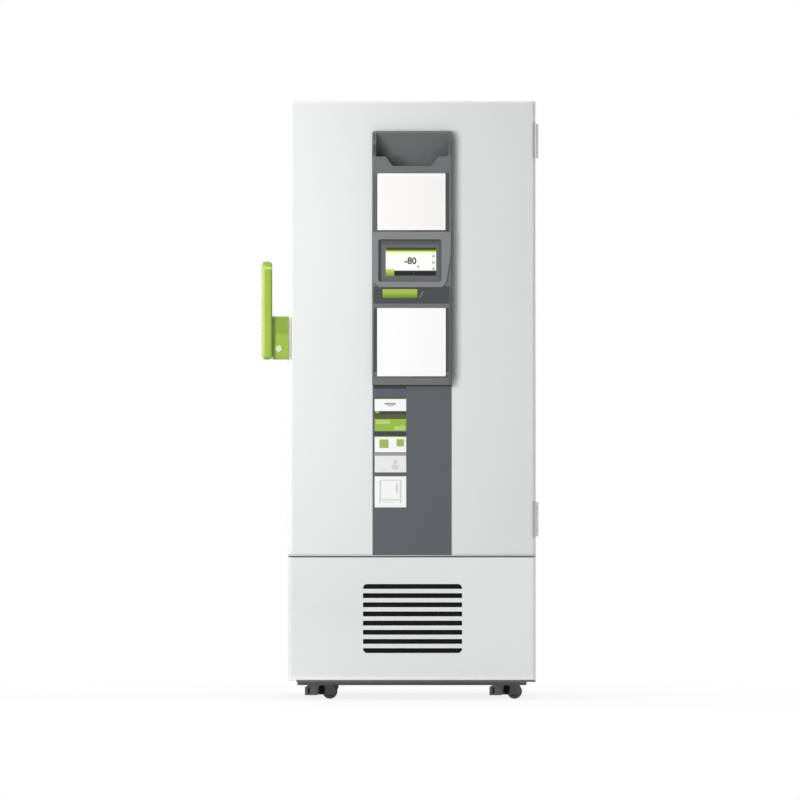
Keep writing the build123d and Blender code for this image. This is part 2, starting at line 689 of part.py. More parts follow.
def base_skirt():
    """Four skirt rails under the floor plate, and the ear that carries the service door's pin."""
    skirt = skirt_shape(0) - skirt_shape(FRAME_SHEET)
    corner = SKIRT_HALF_WIDTH - SKIRT_JOINT_INSET
    cuts = [span(side * corner - 0.1, side * corner + 0.1, y - 20, y + 20, 0, FLOOR_TOP)
            for side in (-1, 1) for y in (SKIRT_FRONT, SKIRT_REAR)]
    for cut in cuts:
        skirt -= cut
    left = SKIRT_HALF_WIDTH - EAR_REACH
    ear = span(left, HALF - 1, SERVICE_PIN_Y - EAR_MARGIN, SKIRT_FRONT - 0.1, EAR_TOP - EAR_THICK, EAR_TOP)
    ear += span(left, left + EAR_ROOT, SKIRT_FRONT - 3, SKIRT_FRONT + 6, EAR_TOP - EAR_THICK, EAR_TOP)
    hole = rod((SERVICE_PIN_X, SERVICE_PIN_Y, EAR_TOP - 10), (SERVICE_PIN_X, SERVICE_PIN_Y, EAR_TOP + 5),
               SERVICE_PIN_RADIUS + RUNNING_FIT)
    return [skirt, (ear - hole) - skirt]


def pan_sketch(margin):
    """Plan of the pan, grown by a margin."""
    return plate_sketch(grown((-PAN_HALF_WIDTH, PAN_HALF_WIDTH, PAN_FRONT, PAN_REAR), margin), PAN_CORNER + margin)


def base_pan():
    """Pressed pan that carries the compressors, with a round well under each."""
    pan = from_top(pan_sketch(0), PAN_BOTTOM, FLOOR_TOP + PAN_SHEET)
    pan += from_top(pan_sketch(PAN_FLANGE), FLOOR_TOP, FLOOR_TOP + PAN_SHEET)
    wells = [Pos(x, WELL_Y, PAN_BOTTOM - WELL_DEPTH) for x in WELL_CENTRES]
    shape = Cone(WELL_RADIUS, WELL_RADIUS + WELL_DEPTH, WELL_DEPTH, align=(Align.CENTER, Align.CENTER, Align.MIN))
    for well in wells:
        pan += well * shape
    pan -= from_top(pan_sketch(-PAN_SHEET), PAN_BOTTOM + PAN_SHEET, FLOOR_TOP + 5)
    for well in wells:
        pan -= Pos(0, 0, PAN_SHEET) * well * shape
    return pan


def caster_places():
    """Name, X and Y of each caster's pivot."""
    names = ("front_left", "front_right", "rear_left", "rear_right")
    spots = [(side * CASTER_X, y) for y in CASTER_Y for side in (-1, 1)]
    return [(name, x, y) for name, (x, y) in zip(names, spots)]


def caster_plates():
    """Top plates of the four casters, each with its bearing race and king pin."""
    plate = from_top(RectangleRounded(PLATE_LENGTH, PLATE_WIDTH, PLATE_CORNER), PLATE_BOTTOM, FRAME_FLOOR)
    for bolt_x in (-PLATE_BOLT_X, PLATE_BOLT_X):
        for bolt_y in (-PLATE_BOLT_Y, PLATE_BOLT_Y):
            bolt = Plane.XY.offset(PLATE_BOTTOM - BOLT_HEAD) * RegularPolygon(BOLT_RADIUS, 6)
            plate += extrude(Pos(bolt_x, bolt_y) * bolt, amount=BOLT_HEAD)
    profile = Polyline((0, PLATE_BOTTOM), (RACE_RADIUS + RACE_FLARE, PLATE_BOTTOM), (RACE_RADIUS, PLATE_BOTTOM - 3),
                       (RACE_RADIUS, RACE_BOTTOM), (KINGPIN_RADIUS, RACE_BOTTOM),
                       (KINGPIN_RADIUS, CROWN_BOTTOM - END_PLAY), (0, CROWN_BOTTOM - END_PLAY), close=True)
    plate += revolve(Plane.XZ * make_face(profile), axis=Axis.Z)
    return [Pos(x, y, 0) * plate for _, x, y in caster_places()]


def caster_fork():
    """Swivel fork with its crown, two legs trailing to the axle, the axle, and the pedal pin."""
    top = CROWN_BOTTOM + FORK_SHEET
    fork = from_top(Circle(RACE_RADIUS + CROWN_MARGIN), CROWN_BOTTOM, top)
    fork -= from_top(Circle(KINGPIN_RADIUS + RUNNING_FIT), CROWN_BOTTOM - 1, top + 1)
    rear = CASTER_TRAIL + LEG_REACH
    leg = Polyline((-LEG_TOP_HALF, top), (LEG_TOP_HALF, top), (rear - LEG_LEAN, WHEEL_RADIUS + LEG_SHOULDER),
                   (rear, WHEEL_RADIUS), (rear - LEG_LEAN, LEG_FOOT), (-LEG_FRONT, LEG_FOOT), close=True)
    face = make_face(leg)
    face = fillet(face.vertices().sort_by(Axis.Y)[:2], LEG_ROUND)
    for low in (FORK_INNER, -FORK_INNER - FORK_SHEET):
        fork += from_front(face, low, low + FORK_SHEET)
    reach = FORK_INNER + FORK_SHEET + AXLE_END
    fork += rod((CASTER_TRAIL, -reach, WHEEL_RADIUS), (CASTER_TRAIL, reach, WHEEL_RADIUS), AXLE_RADIUS)
    pin = FORK_INNER + FORK_SHEET + PEDAL_PIN_END
    for side in (-1, 1):
        fork += rod((PEDAL_PIVOT_X, side * FORK_INNER, PEDAL_PIVOT_Z), (PEDAL_PIVOT_X, side * pin, PEDAL_PIVOT_Z),
                    PEDAL_PIN_RADIUS)
    return fork


def caster_wheel():
    """Wheel turned from a profile with a rounded tread and a thinner web."""
    half = WHEEL_WIDTH / 2
    bore = AXLE_RADIUS + RUNNING_FIT
    tread = plate_sketch((WHEEL_RADIUS - TREAD_DEPTH, WHEEL_RADIUS, -half, half))
    tread = fillet(tread.vertices().group_by(Axis.X)[-1], TREAD_ROUND)
    profile = tread + plate_sketch((bore, WHEEL_RADIUS - TREAD_DEPTH + 1, -WEB_HALF, WEB_HALF))
    profile += plate_sketch((bore, AXLE_RADIUS + WHEEL_HUB_WALL, -half - 1, half + 1))
    wheel = revolve(profile, axis=Axis.Y)
    return Pos(CASTER_TRAIL, 0, WHEEL_RADIUS) * wheel


def brake_pedal():
    """Pedal that straddles the fork on its pin, with a slotted pad in front."""
    leg_inner = FORK_INNER + FORK_SHEET + END_PLAY
    rear, top = PEDAL_PIVOT_X + PEDAL_EYE, PEDAL_PIVOT_Z + PEDAL_RISE
    side = Polyline((rear, PEDAL_PIVOT_Z - PEDAL_EYE), (rear, top), (-PEDAL_SHOULDER, top),
                    (-PEDAL_REACH, PEDAL_PIVOT_Z - PEDAL_NOSE_DROP), (-PEDAL_REACH, PEDAL_BOTTOM),
                    (-PEDAL_CHEEK_REAR, PEDAL_BOTTOM), (-PEDAL_CHEEK_REAR, PEDAL_PIVOT_Z - PEDAL_ARM_DROP), close=True)
    body = from_front(make_face(side), -PEDAL_HALF_WIDTH, PEDAL_HALF_WIDTH)
    body -= span(-PEDAL_PAD_REAR, PEDAL_PIVOT_X + 20, -leg_inner, leg_inner, PEDAL_BOTTOM - 1, top + 5)
    slot = PEDAL_SLOT_INSET - PEDAL_REACH
    for near, far in ((-PEDAL_HALF_WIDTH - 1, PEDAL_SLOT_DEPTH - PEDAL_HALF_WIDTH),
                      (PEDAL_HALF_WIDTH - PEDAL_SLOT_DEPTH, PEDAL_HALF_WIDTH + 1)):
        body -= span(slot, slot + PEDAL_SLOT_LENGTH, near, far, PEDAL_BOTTOM + PEDAL_SLOT_FLOOR,
                     PEDAL_PIVOT_Z - PEDAL_NOSE_DROP)
    hole = rod((PEDAL_PIVOT_X, -40, PEDAL_PIVOT_Z), (PEDAL_PIVOT_X, 40, PEDAL_PIVOT_Z),
               PEDAL_PIN_RADIUS + RUNNING_FIT)
    return body - hole


# Machine compartment

def compressor(centre_x):
    """Hermetic compressor: a domed shell with its weld seam, foot, stub and terminal cover, on four rubber mounts."""
    shell_profile = plate_sketch((-COMPRESSOR_RADIUS, COMPRESSOR_RADIUS, COMPRESSOR_BOTTOM, COMPRESSOR_TOP))
    shell_profile = fillet(shell_profile.vertices(), SHELL_ROUND)
    half_space = plate_sketch((0, COMPRESSOR_RADIUS, COMPRESSOR_BOTTOM, COMPRESSOR_TOP))
    shell = revolve(Plane.XZ * (shell_profile & half_space), axis=Axis.Z)
    seam_z = (COMPRESSOR_BOTTOM + COMPRESSOR_TOP) / 2
    shell += from_top(Circle(COMPRESSOR_RADIUS + SEAM_PROUD), seam_z - SEAM_HALF, seam_z + SEAM_HALF)
    foot = RectangleRounded(COMPRESSOR_FOOT, COMPRESSOR_FOOT, FOOT_CORNER)
    shell += from_top(foot, COMPRESSOR_BOTTOM - FOOT_THICK, COMPRESSOR_BOTTOM + 2)
    shell += from_top(Pos(*STUB_OFFSET) * Circle(TUBE_RADIUS + STUB_WALL), COMPRESSOR_TOP - SHELL_ROUND / 2, STUB_TOP)
    cover = span(-COVER_HALF, COVER_HALF, -COMPRESSOR_RADIUS - COVER_PROUD, -COMPRESSOR_RADIUS + COVER_PROUD,
                 seam_z - COVER_DROP - COVER_HEIGHT, seam_z - COVER_DROP)
    shell += fillet(cover.edges().filter_by(Axis.Z).group_by(Axis.Y)[0], COVER_CORNER)
    corner = COMPRESSOR_FOOT / 2 - MOUNT_RADIUS - 2
    pan_floor = PAN_BOTTOM + PAN_SHEET
    mount_top = COMPRESSOR_BOTTOM - FOOT_THICK
    mount = from_top(Circle(MOUNT_RADIUS), pan_floor, mount_top)
    mount -= Pos(0, 0, (pan_floor + mount_top) / 2) * Torus(MOUNT_RADIUS + 1, MOUNT_GROOVE)
    spots = [(x, y) for x in (-corner, corner) for y in (-corner, corner)]
    return [Pos(centre_x, WELL_Y, 0) * piece for piece in [shell] + [Pos(x, y, 0) * mount for x, y in spots]]


def condenser_coil():
    """Finned coil: end plates, fins and a tube that runs back and forth across them."""
    rear = COIL_FRONT + COIL_DEPTH
    tall = plate_sketch((COIL_FRONT, rear, COIL_BOTTOM, COIL_TOP))
    short = plate_sketch((COIL_FRONT + 2, rear - 2, COIL_BOTTOM + FIN_DROP, COIL_TOP - FIN_DROP + 2))
    coil = from_side(tall, -COIL_HALF_WIDTH, -COIL_HALF_WIDTH + SHEET)
    coil += from_side(tall, COIL_HALF_WIDTH - SHEET, COIL_HALF_WIDTH)
    pitch = 2 * (COIL_HALF_WIDTH - SHEET) / (COIL_FINS + 1)
    fins = [from_side(short, x, x + 1) for x in
            [-COIL_HALF_WIDTH + SHEET + pitch * (n + 1) - 0.5 for n in range(COIL_FINS)]]
    return coil + fins + condenser_tube()


def coil_rows():
    """Heights of the condenser tube's passes."""
    middle = (COIL_BOTTOM + COIL_TOP) / 2
    return [middle + COIL_ROW_PITCH * (row - (COIL_ROWS - 1) / 2) for row in range(COIL_ROWS)]


def condenser_tube():
    """One tube with a half turn at the end of each pass."""
    y = COIL_FRONT + COIL_DEPTH / 2
    out = COIL_HALF_WIDTH + TUBE_OUT
    rows = coil_rows()
    solids = []
    for row, z in enumerate(rows):
        solids.append(rod((-out, y, z), (out, y, z), TUBE_RADIUS))
        if row < COIL_ROWS - 1:
            side = 1 if row % 2 == 0 else -1
            section = Plane(origin=(side * out, y, z), x_dir=(0, 1, 0), z_dir=(1, 0, 0)) * Circle(TUBE_RADIUS)
            turn_axis = Axis((side * out, y, z + COIL_ROW_PITCH / 2), (0, -side, 0))
            turn = revolve(section, axis=turn_axis, revolution_arc=180)
            solids.append(turn)
    return solids


def fan_shroud():
    """Shroud plate with a bell mouth, three motor arms, and the motor as a second solid."""
    front = COIL_FRONT + COIL_DEPTH
    sheet = plate_sketch((-COIL_HALF_WIDTH, COIL_HALF_WIDTH, COIL_BOTTOM, COIL_TOP), SHROUD_CORNER)
    plate = from_front(sheet, front, front + SHEET)
    centre = Pos(0, FAN_Z)
    plate += from_front(centre * Circle(FAN_HOLE_RADIUS + SHROUD_WALL), front, front + SHROUD_DEPTH)
    plate -= from_front(centre * Circle(FAN_HOLE_RADIUS), front - 1, front + SHROUD_DEPTH + 1)
    arm = plate_sketch((MOTOR_RADIUS - ARM_THICK, FAN_HOLE_RADIUS + SHROUD_WALL, -ARM_HALF, ARM_HALF))
    arms = [centre * Rot(0, 0, 90 + 120 * n) * arm for n in range(3)]
    rear = front + SHROUD_DEPTH
    plate += from_front(Sketch() + arms, rear - ARM_THICK, rear)
    motor = from_front(centre * Circle(MOTOR_RADIUS), rear - ARM_THICK, rear + MOTOR_LENGTH)
    motor = fillet(motor.edges().filter_by(GeomType.CIRCLE).group_by(Axis.Y)[-1], MOTOR_ROUND)
    motor += rod((0, FAN_Y - 4, FAN_Z), (0, rear, FAN_Z), MOTOR_SHAFT_RADIUS)
    return plate + motor


def fan_blades():
    """Hub with pitched blades, bored to run on the motor's shaft."""
    hub = from_front(Circle(FAN_HUB_RADIUS), 0, FAN_DEPTH)
    hub = fillet(hub.edges().filter_by(GeomType.CIRCLE).group_by(Axis.Y)[0], HUB_ROUND)
    middle = FAN_DEPTH / 2
    root = Plane(origin=(FAN_HUB_RADIUS - 5, middle, 0), x_dir=(0, 1, 0), z_dir=(1, 0, 0))
    tip = Plane(origin=(FAN_RADIUS - 2, middle, 0), x_dir=(0, 1, 0), z_dir=(1, 0, 0))
    blade = loft([root * Rot(0, 0, ROOT_PITCH) * RectangleRounded(ROOT_CHORD, 3, 1.2),
                  tip * Rot(0, 0, TIP_PITCH) * RectangleRounded(TIP_CHORD, 2, 0.9)])
    blade &= from_front(Circle(FAN_RADIUS), 1, FAN_DEPTH - 1)
    for number in range(FAN_BLADES):
        hub += Rot(0, number * 360 / FAN_BLADES, 0) * blade
    hub -= from_front(Circle(MOTOR_SHAFT_RADIUS + RUNNING_FIT), -1, FAN_DEPTH + 1)
    return Pos(0, FAN_Y, FAN_Z) * hub


def heat_exchanger_box():
    """Foam jacketed cascade heat exchanger with two straps and its stubs."""
    x0, x1, y0, y1, z0, z1 = EXCHANGER
    jacket = fillet(span(*EXCHANGER).edges(), 14)
    for strap_y in (y0 + 120, y1 - 120):
        strap = span(x0 - 1.5, x1 + 1.5, strap_y - 12, strap_y + 12, z0, z1 + 1.5)
        jacket += strap
    inlet_z = coil_rows()[0]
    jacket += rod((LIQUID_X, y0 + 20, inlet_z), (LIQUID_X, y0 - 12, inlet_z), TUBE_RADIUS + 1.5)
    return jacket + rod((x1 - 20, SUCTION_Y, SUCTION_Z), (x1 + 12, SUCTION_Y, SUCTION_Z), TUBE_RADIUS + 1.5)


def refrigerant_lines():
    """Copper lines: discharge to the condenser, liquid to the exchanger, suction to each compressor."""
    coil_y = COIL_FRONT + COIL_DEPTH / 2
    rows = coil_rows()
    first_x, second_x = [x + STUB_OFFSET[0] for x in WELL_CENTRES]
    stub_y = WELL_Y + STUB_OFFSET[1]
    out = COIL_HALF_WIDTH + TUBE_OUT
    high = DECK_TOP - 45
    last_side = out if COIL_ROWS % 2 else -out
    aside = 40 if COIL_ROWS % 2 else -40
    discharge = pipe([(first_x, stub_y, STUB_TOP), (first_x, stub_y, high), (first_x, 140, high),
                      (last_side + aside, 140, high), (last_side + aside, coil_y, high),
                      (last_side + aside, coil_y, rows[-1]), (last_side, coil_y, rows[-1])], 16, TUBE_RADIUS)
    liquid = pipe([(-out, coil_y, rows[0]), (-out - 60, coil_y, rows[0]), (-out - 60, 120, rows[0]),
                   (LIQUID_X, 120, rows[0]), (LIQUID_X, EXCHANGER[2] - 12, rows[0])], 16, TUBE_RADIUS)
    suction = pipe([(EXCHANGER[1] + 12, SUCTION_Y, SUCTION_Z), (second_x, SUCTION_Y, SUCTION_Z),
                    (second_x, stub_y, SUCTION_Z), (second_x, stub_y, STUB_TOP)], 16, TUBE_RADIUS)
    return [discharge, liquid, suction]


def electrical_box():
    """Control box with a raised lid and a row of cable glands."""
    x0, x1, y0, y1, z0, z1 = ELECTRICAL_BOX
    box = span(*ELECTRICAL_BOX)
    box = fillet(box.edges().filter_by(Axis.Y), 4)
    lid = span(x0 - 3, x0, y0 + 8, y1 - 8, z0 + 10, z1 - 10)
    box += fillet(lid.edges().filter_by(Axis.X), 6)
    for gland_y in (y0 + 60, y0 + 120, y0 + 180):
        box += from_top(Pos((x0 + x1) / 2, gland_y) * RegularPolygon(11, 6), z1, z1 + 9)
        box += from_top(Pos((x0 + x1) / 2, gland_y) * Circle(8), z1 + 9, z1 + 20)
    return box


# Main door

def door_plan(inset):
    """Plan of the main door, set in from its outer face."""
    return front_rounded_plan(HALF - inset, DOOR_FRONT + inset, DOOR_REAR, DOOR_EDGE_RADIUS - inset)


def door_body(inset):
    """Door block with rounded front edges, set in by a thickness."""
    body = from_top(door_plan(inset), DOOR_BOTTOM + inset, HEIGHT - inset)
    top_front = body.edges().group_by(Axis.Z)[-1].filter_by(Axis.X).group_by(Axis.Y)[0]
    return fillet(top_front, DOOR_TOP_RADIUS - inset)


def tub_limits():
    """Left, right, bottom and top of the hole that the pocket's tub needs in the door."""
    return (-POCKET_HALF - COLUMN_WALL, POCKET_HALF + COLUMN_WALL, POCKET_FLOOR - COLUMN_WALL,
            POCKET_TOP + COLUMN_WALL)


def tub_space(margin):
    """Space that the document pocket's tub takes out of the door."""
    sketch = plate_sketch(grown(tub_limits(), margin))
    return from_front(sketch, DOOR_FRONT - 1, POCKET_BACK + COLUMN_WALL + margin)


def door_outer_skin():
    """Folded steel tray, open at the back, cut out for the document pocket."""
    skin = door_body(0) - door_body(SHEET)
    return skin - tub_space(0)


def dyke(inset, rise):
    """Raised field of the inner panel, with sloping sides, less a wall thickness."""
    limits = (-DYKE_HALF_WIDTH + inset, DYKE_HALF_WIDTH - inset, DOOR_BOTTOM + DYKE_MARGIN + inset,
              HEIGHT - DYKE_MARGIN - inset)
    plane = Plane(origin=(0, PANEL_FACE, 0), x_dir=(-1, 0, 0), z_dir=(0, 1, 0))
    left, right, bottom, top = limits
    sketch = plane * plate_sketch((-right, -left, bottom, top), 30 - inset)
    return extrude(sketch, amount=rise, taper=30)


def door_inner_panel():
    """Moulded rear panel of the door with a raised field."""
    half = HALF - SHEET
    sheet = span(-half, half, PANEL_FACE, DOOR_REAR, DOOR_BOTTOM + SHEET, HEIGHT - SHEET)
    panel = (sheet & door_body(SHEET)) + dyke(0, INNER_PANEL_SHEET + DYKE_RISE)
    return panel - dyke(INNER_PANEL_SHEET, DYKE_RISE)


def door_insulation():
    """Foam that fills the door between its skins."""
    core = door_body(SHEET) - span(-HALF, HALF, PANEL_FACE, 0, 0, 2 * HEIGHT)
    core += dyke(INNER_PANEL_SHEET, DYKE_RISE)
    return core - tub_space(0)


def door_gasket():
    """Magnetic gasket: a fixing foot, a narrow neck and a soft bulb."""
    outer = (-HALF + GASKET_INSET, HALF - GASKET_INSET, DOOR_BOTTOM + GASKET_INSET, HEIGHT - GASKET_INSET)
    depth = DOOR_GAP - SEAL_GAP
    layers = ((0, 0.3, 0), (0.3, 0.55, 5), (0.55, 1, 1))
    gasket = None
    for start, end, inset in layers:
        ring = plate_sketch(grown(outer, -inset), 10)
        ring -= plate_sketch(grown(outer, -GASKET_WIDTH + inset), 6)
        layer = from_front(ring, DOOR_REAR + depth * start, DOOR_REAR + depth * end)
        gasket = layer if gasket is None else gasket + layer
    return gasket


def hinge_leaf(side, knuckles):
    """Leaf on the side of the door or cabinet, with its knuckles, for one hinge from z = 0."""
    near = HINGE_Y + side * (HINGE_BARREL_RADIUS + 0.5)
    far = near + side * HINGE_LEAF_LENGTH
    leaf = from_side(plate_sketch((min(near, far), max(near, far), 0, HINGE_HEIGHT), 3), HALF, HALF + HINGE_LEAF)
    for low, high in knuckles:
        arm = (min(near + side, HINGE_Y), max(near + side, HINGE_Y))
        leaf += span(HALF + 0.3, HALF + HINGE_LEAF, arm[0], arm[1], low, high)
        leaf += from_top(Pos(HINGE_X, HINGE_Y) * Circle(HINGE_BARREL_RADIUS), low, high)
    return leaf


def hinge_thirds():
    """Heights at which a hinge's knuckles meet."""
    third = HINGE_HEIGHT / 3
    return third, HINGE_HEIGHT - third


def hinge_bore(leaf):
    """Leaf with its knuckles bored for the pin."""
    return leaf - from_top(Pos(HINGE_X, HINGE_Y) * Circle(HINGE_PIN_RADIUS + RUNNING_FIT), -1, HINGE_HEIGHT + 1)


def door_hinge_leaves():
    """Leaves on the door's side, with the middle knuckle."""
    low, high = hinge_thirds()
    leaf = hinge_bore(hinge_leaf(-1, [(low + END_PLAY, high - END_PLAY)]))
    return [Pos(0, 0, z) * leaf for z in HINGE_BOTTOMS]


def cabinet_hinge_leaves():
    """Leaves on the cabinet's side, with the end knuckles and the fixed pin."""
    low, high = hinge_thirds()
    leaf = hinge_leaf(1, [(0, low), (high, HINGE_HEIGHT)])
    leaf += from_top(Pos(HINGE_X, HINGE_Y) * Circle(HINGE_PIN_RADIUS), low - 1, high + 1)
    return [Pos(0, 0, z) * leaf for z in HINGE_BOTTOMS]


# Control column

def pocket_cut():
    """Space of the document pocket: a curved scoop that falls behind the front plate."""
    outline = [
        Line((COLUMN_FRONT - 1, POCKET_TOP), (COLUMN_FRONT + POCKET_EDGE_DEPTH, POCKET_TOP)),
        ThreePointArc((COLUMN_FRONT + POCKET_EDGE_DEPTH, POCKET_TOP),
                      (POCKET_BACK - POCKET_CURVE_SAG, POCKET_TOP - POCKET_CURVE_DROP),
                      (POCKET_BACK, POCKET_TOP - POCKET_BACK_DROP)),
        Line((POCKET_BACK, POCKET_TOP - POCKET_BACK_DROP), (POCKET_BACK, POCKET_FLOOR)),
        Line((POCKET_BACK, POCKET_FLOOR), (COLUMN_BACK, POCKET_FLOOR)),
        Line((COLUMN_BACK, POCKET_FLOOR), (COLUMN_BACK, POCKET_LIP)),
        Line((COLUMN_BACK, POCKET_LIP), (COLUMN_FRONT - 1, POCKET_LIP)),
        Line((COLUMN_FRONT - 1, POCKET_LIP), (COLUMN_FRONT - 1, POCKET_TOP)),
    ]
    return from_side(make_face(outline), -POCKET_HALF, POCKET_HALF)


def pocket_notch():
    """Shallow notch in the front plate, wider at its top."""
    outline = Polyline((-POCKET_NOTCH_TOP_HALF, POCKET_LIP + 1), (-POCKET_NOTCH_BOTTOM_HALF, POCKET_NOTCH_BOTTOM),
                       (POCKET_NOTCH_BOTTOM_HALF, POCKET_NOTCH_BOTTOM), (POCKET_NOTCH_TOP_HALF, POCKET_LIP + 1),
                       close=True)
    face = make_face(outline)
    face = fillet(face.vertices().group_by(Axis.Y)[0], POCKET_NOTCH_CORNER)
    return from_front(face, COLUMN_FRONT - 1, COLUMN_BACK + 0.5)


def display_window(margin):
    """Limits of the hole in the column behind the display."""
    return grown(DISPLAY_RECESS, DISPLAY_WALL + margin)


def bar_recess_sketch():
    """Recess round the status light bar, with a slanted right end."""
    left, right, bottom, top = grown(LIGHT_BAR, BAR_RECESS_PLAY)
    outline = Polyline((left, bottom), (BAR_RECESS_RIGHT - BAR_RECESS_SLANT, bottom), (BAR_RECESS_RIGHT, top),
                       (left, top), close=True)
    return make_face(outline)


def card_bay(card):
    """Limits of the recess round a card, wider than the card at its sides and its foot."""
    return (CARD_BAY_LEFT, CARD_BAY_RIGHT, card[2] - CARD_BAY_FOOT, card[3])


def top_slot(side):
    """Short upright slot beside the pocket's top corner."""
    top = COLUMN_TOP - TOP_SLOT_DROP
    half = TOP_SLOT_WIDTH / 2
    limits = (side * TOP_SLOT_X - half, side * TOP_SLOT_X + half, top - TOP_SLOT_LENGTH, top)
    return from_front(plate_sketch(limits, half - 0.1), COLUMN_FRONT - 1, COLUMN_FRONT + TOP_SLOT_DEPTH)


def control_column():
    """Grey moulding on the door: shell, document pocket, card recesses, display and bar places."""
    outline = plate_sketch((COLUMN_LEFT, COLUMN_RIGHT, COLUMN_BOTTOM, COLUMN_TOP))
    outline = fillet(outline.vertices().group_by(Axis.Y)[-1], COLUMN_CORNER)
    column = from_front(outline, COLUMN_FRONT, DOOR_FRONT)
    rim = column.faces().sort_by(Axis.Y)[0].edges()
    column = chamfer(rim, COLUMN_EDGE)
    hollow = plate_sketch((COLUMN_LEFT + COLUMN_WALL, COLUMN_RIGHT - COLUMN_WALL, COLUMN_BOTTOM + COLUMN_WALL,
                           POCKET_FLOOR - COLUMN_WALL))
    column -= from_front(hollow, COLUMN_BACK, DOOR_FRONT + 1)
    column += from_front(plate_sketch(tub_limits()), DOOR_FRONT, POCKET_BACK + COLUMN_WALL)
    column -= pocket_cut()
    column -= pocket_notch()
    for card in (UPPER_CARD, LOWER_CARD):
        column -= from_front(plate_sketch(card_bay(card), CARD_CORNER), COLUMN_FRONT - 1, COLUMN_FRONT + CARD_RECESS)
    for side in (-1, 1):
        column -= top_slot(side)
    column -= from_front(plate_sketch(BAND, CARD_CORNER), COLUMN_FRONT - 1, COLUMN_FRONT + BAND_DEPTH)
    column -= from_front(plate_sketch(display_window(END_PLAY)), COLUMN_FRONT - 1, COLUMN_BACK + 1)
    column -= from_front(bar_recess_sketch(), COLUMN_FRONT - 1, COLUMN_FRONT + BAR_RECESS_DEPTH)
    return column


def column_cards():
    """Two white cards in the column's recesses."""
    back = COLUMN_FRONT + CARD_RECESS
    return [from_front(plate_sketch(grown(card, -CARD_PLAY), CARD_CORNER), back - CARD_THICK, back)
            for card in (UPPER_CARD, LOWER_CARD)]


def display_outline():
    """Outline of the bezel: cut lower corners, and a right edge that leans in below its start."""
    left, right, bottom, top = DISPLAY
    leaned = right - DISPLAY_LEAN
    return Polyline((left, bottom + DISPLAY_LEFT_CHAMFER), (left, top), (right, top),
                    (right, top - DISPLAY_LEAN_START), (leaned, bottom + DISPLAY_CHAMFER),
                    (leaned - DISPLAY_CHAMFER, bottom), (left + DISPLAY_LEFT_CHAMFER, bottom), close=True)


def display_bezel():
    """Lighter frame round the touch screen, with a sloping recess."""
    face = make_face(display_outline())
    front = COLUMN_FRONT - DISPLAY_PROUD
    bezel = from_front(face, front, COLUMN_FRONT)
    bezel = chamfer(bezel.faces().sort_by(Axis.Y)[0].edges(), 1.5)
    floor = front + DISPLAY_RECESS_DEPTH
    bezel += from_front(plate_sketch(display_window(0)), COLUMN_FRONT, floor + DISPLAY_WALL)
    left, right, bottom, top = DISPLAY_RECESS
    plane = Plane(origin=(0, front, 0), x_dir=(-1, 0, 0), z_dir=(0, 1, 0))
    sketch = plane * plate_sketch((-right, -left, bottom, top), DISPLAY_RECESS_CORNER)
    return bezel - extrude(sketch, amount=DISPLAY_RECESS_DEPTH, taper=DISPLAY_SLOPE)


def touch_screen():
    """Glass of the display, on the recess floor."""
    floor = COLUMN_FRONT - DISPLAY_PROUD + DISPLAY_RECESS_DEPTH
    return from_front(plate_sketch(SCREEN, 2), floor - SCREEN_THICK, floor)


def status_light_bar():
    """Green lens in its recess."""
    back = COLUMN_FRONT + BAR_RECESS_DEPTH
    lens = from_front(plate_sketch(LIGHT_BAR, 2), back - BAR_THICK, back)
    return chamfer(lens.faces().sort_by(Axis.Y)[0].edges(), 0.6)


def column_lower_strip():
    """Thin grey strip below the column."""
    limits = (COLUMN_LEFT + STRIP_MARGIN, COLUMN_RIGHT - STRIP_MARGIN, DOOR_BOTTOM, COLUMN_BOTTOM)
    return from_front(plate_sketch(limits), DOOR_FRONT - STRIP_THICK, DOOR_FRONT)


# Latch

def latch_housing():
    """Block on the door's side with the pivot bore, a slot for the hook and the lock's bore."""
    profile = plate_sketch((LATCH_BLOCK_FRONT, LATCH_BLOCK_REAR, LEVER_BOTTOM, LATCH_BLOCK_TOP))
    profile = fillet(profile.vertices().group_by(Axis.X)[0], 14)
    block = from_side(profile, BLOCK_LEFT, -HALF)
    slot = (HOOK_LEFT - HOOK_SLOT_PLAY, HOOK_LEFT + HOOK_THICK + HOOK_SLOT_PLAY)
    block -= span(slot[0], slot[1], LATCH_PIVOT_Y - 14, LATCH_BLOCK_REAR + 1, LATCH_PIVOT_Z - 18, LATCH_BLOCK_TOP + 1)
    block -= rod((BLOCK_LEFT - 1, LATCH_PIVOT_Y, LATCH_PIVOT_Z), (-HALF - 6, LATCH_PIVOT_Y, LATCH_PIVOT_Z),
                 LATCH_PIN_RADIUS + RUNNING_FIT)
    front = LATCH_BLOCK_FRONT
    block -= rod((KEY_X, front - 1, KEY_Z), (KEY_X, front + KEY_LENGTH + END_PLAY, KEY_Z), KEY_RADIUS + RUNNING_FIT)
    return block


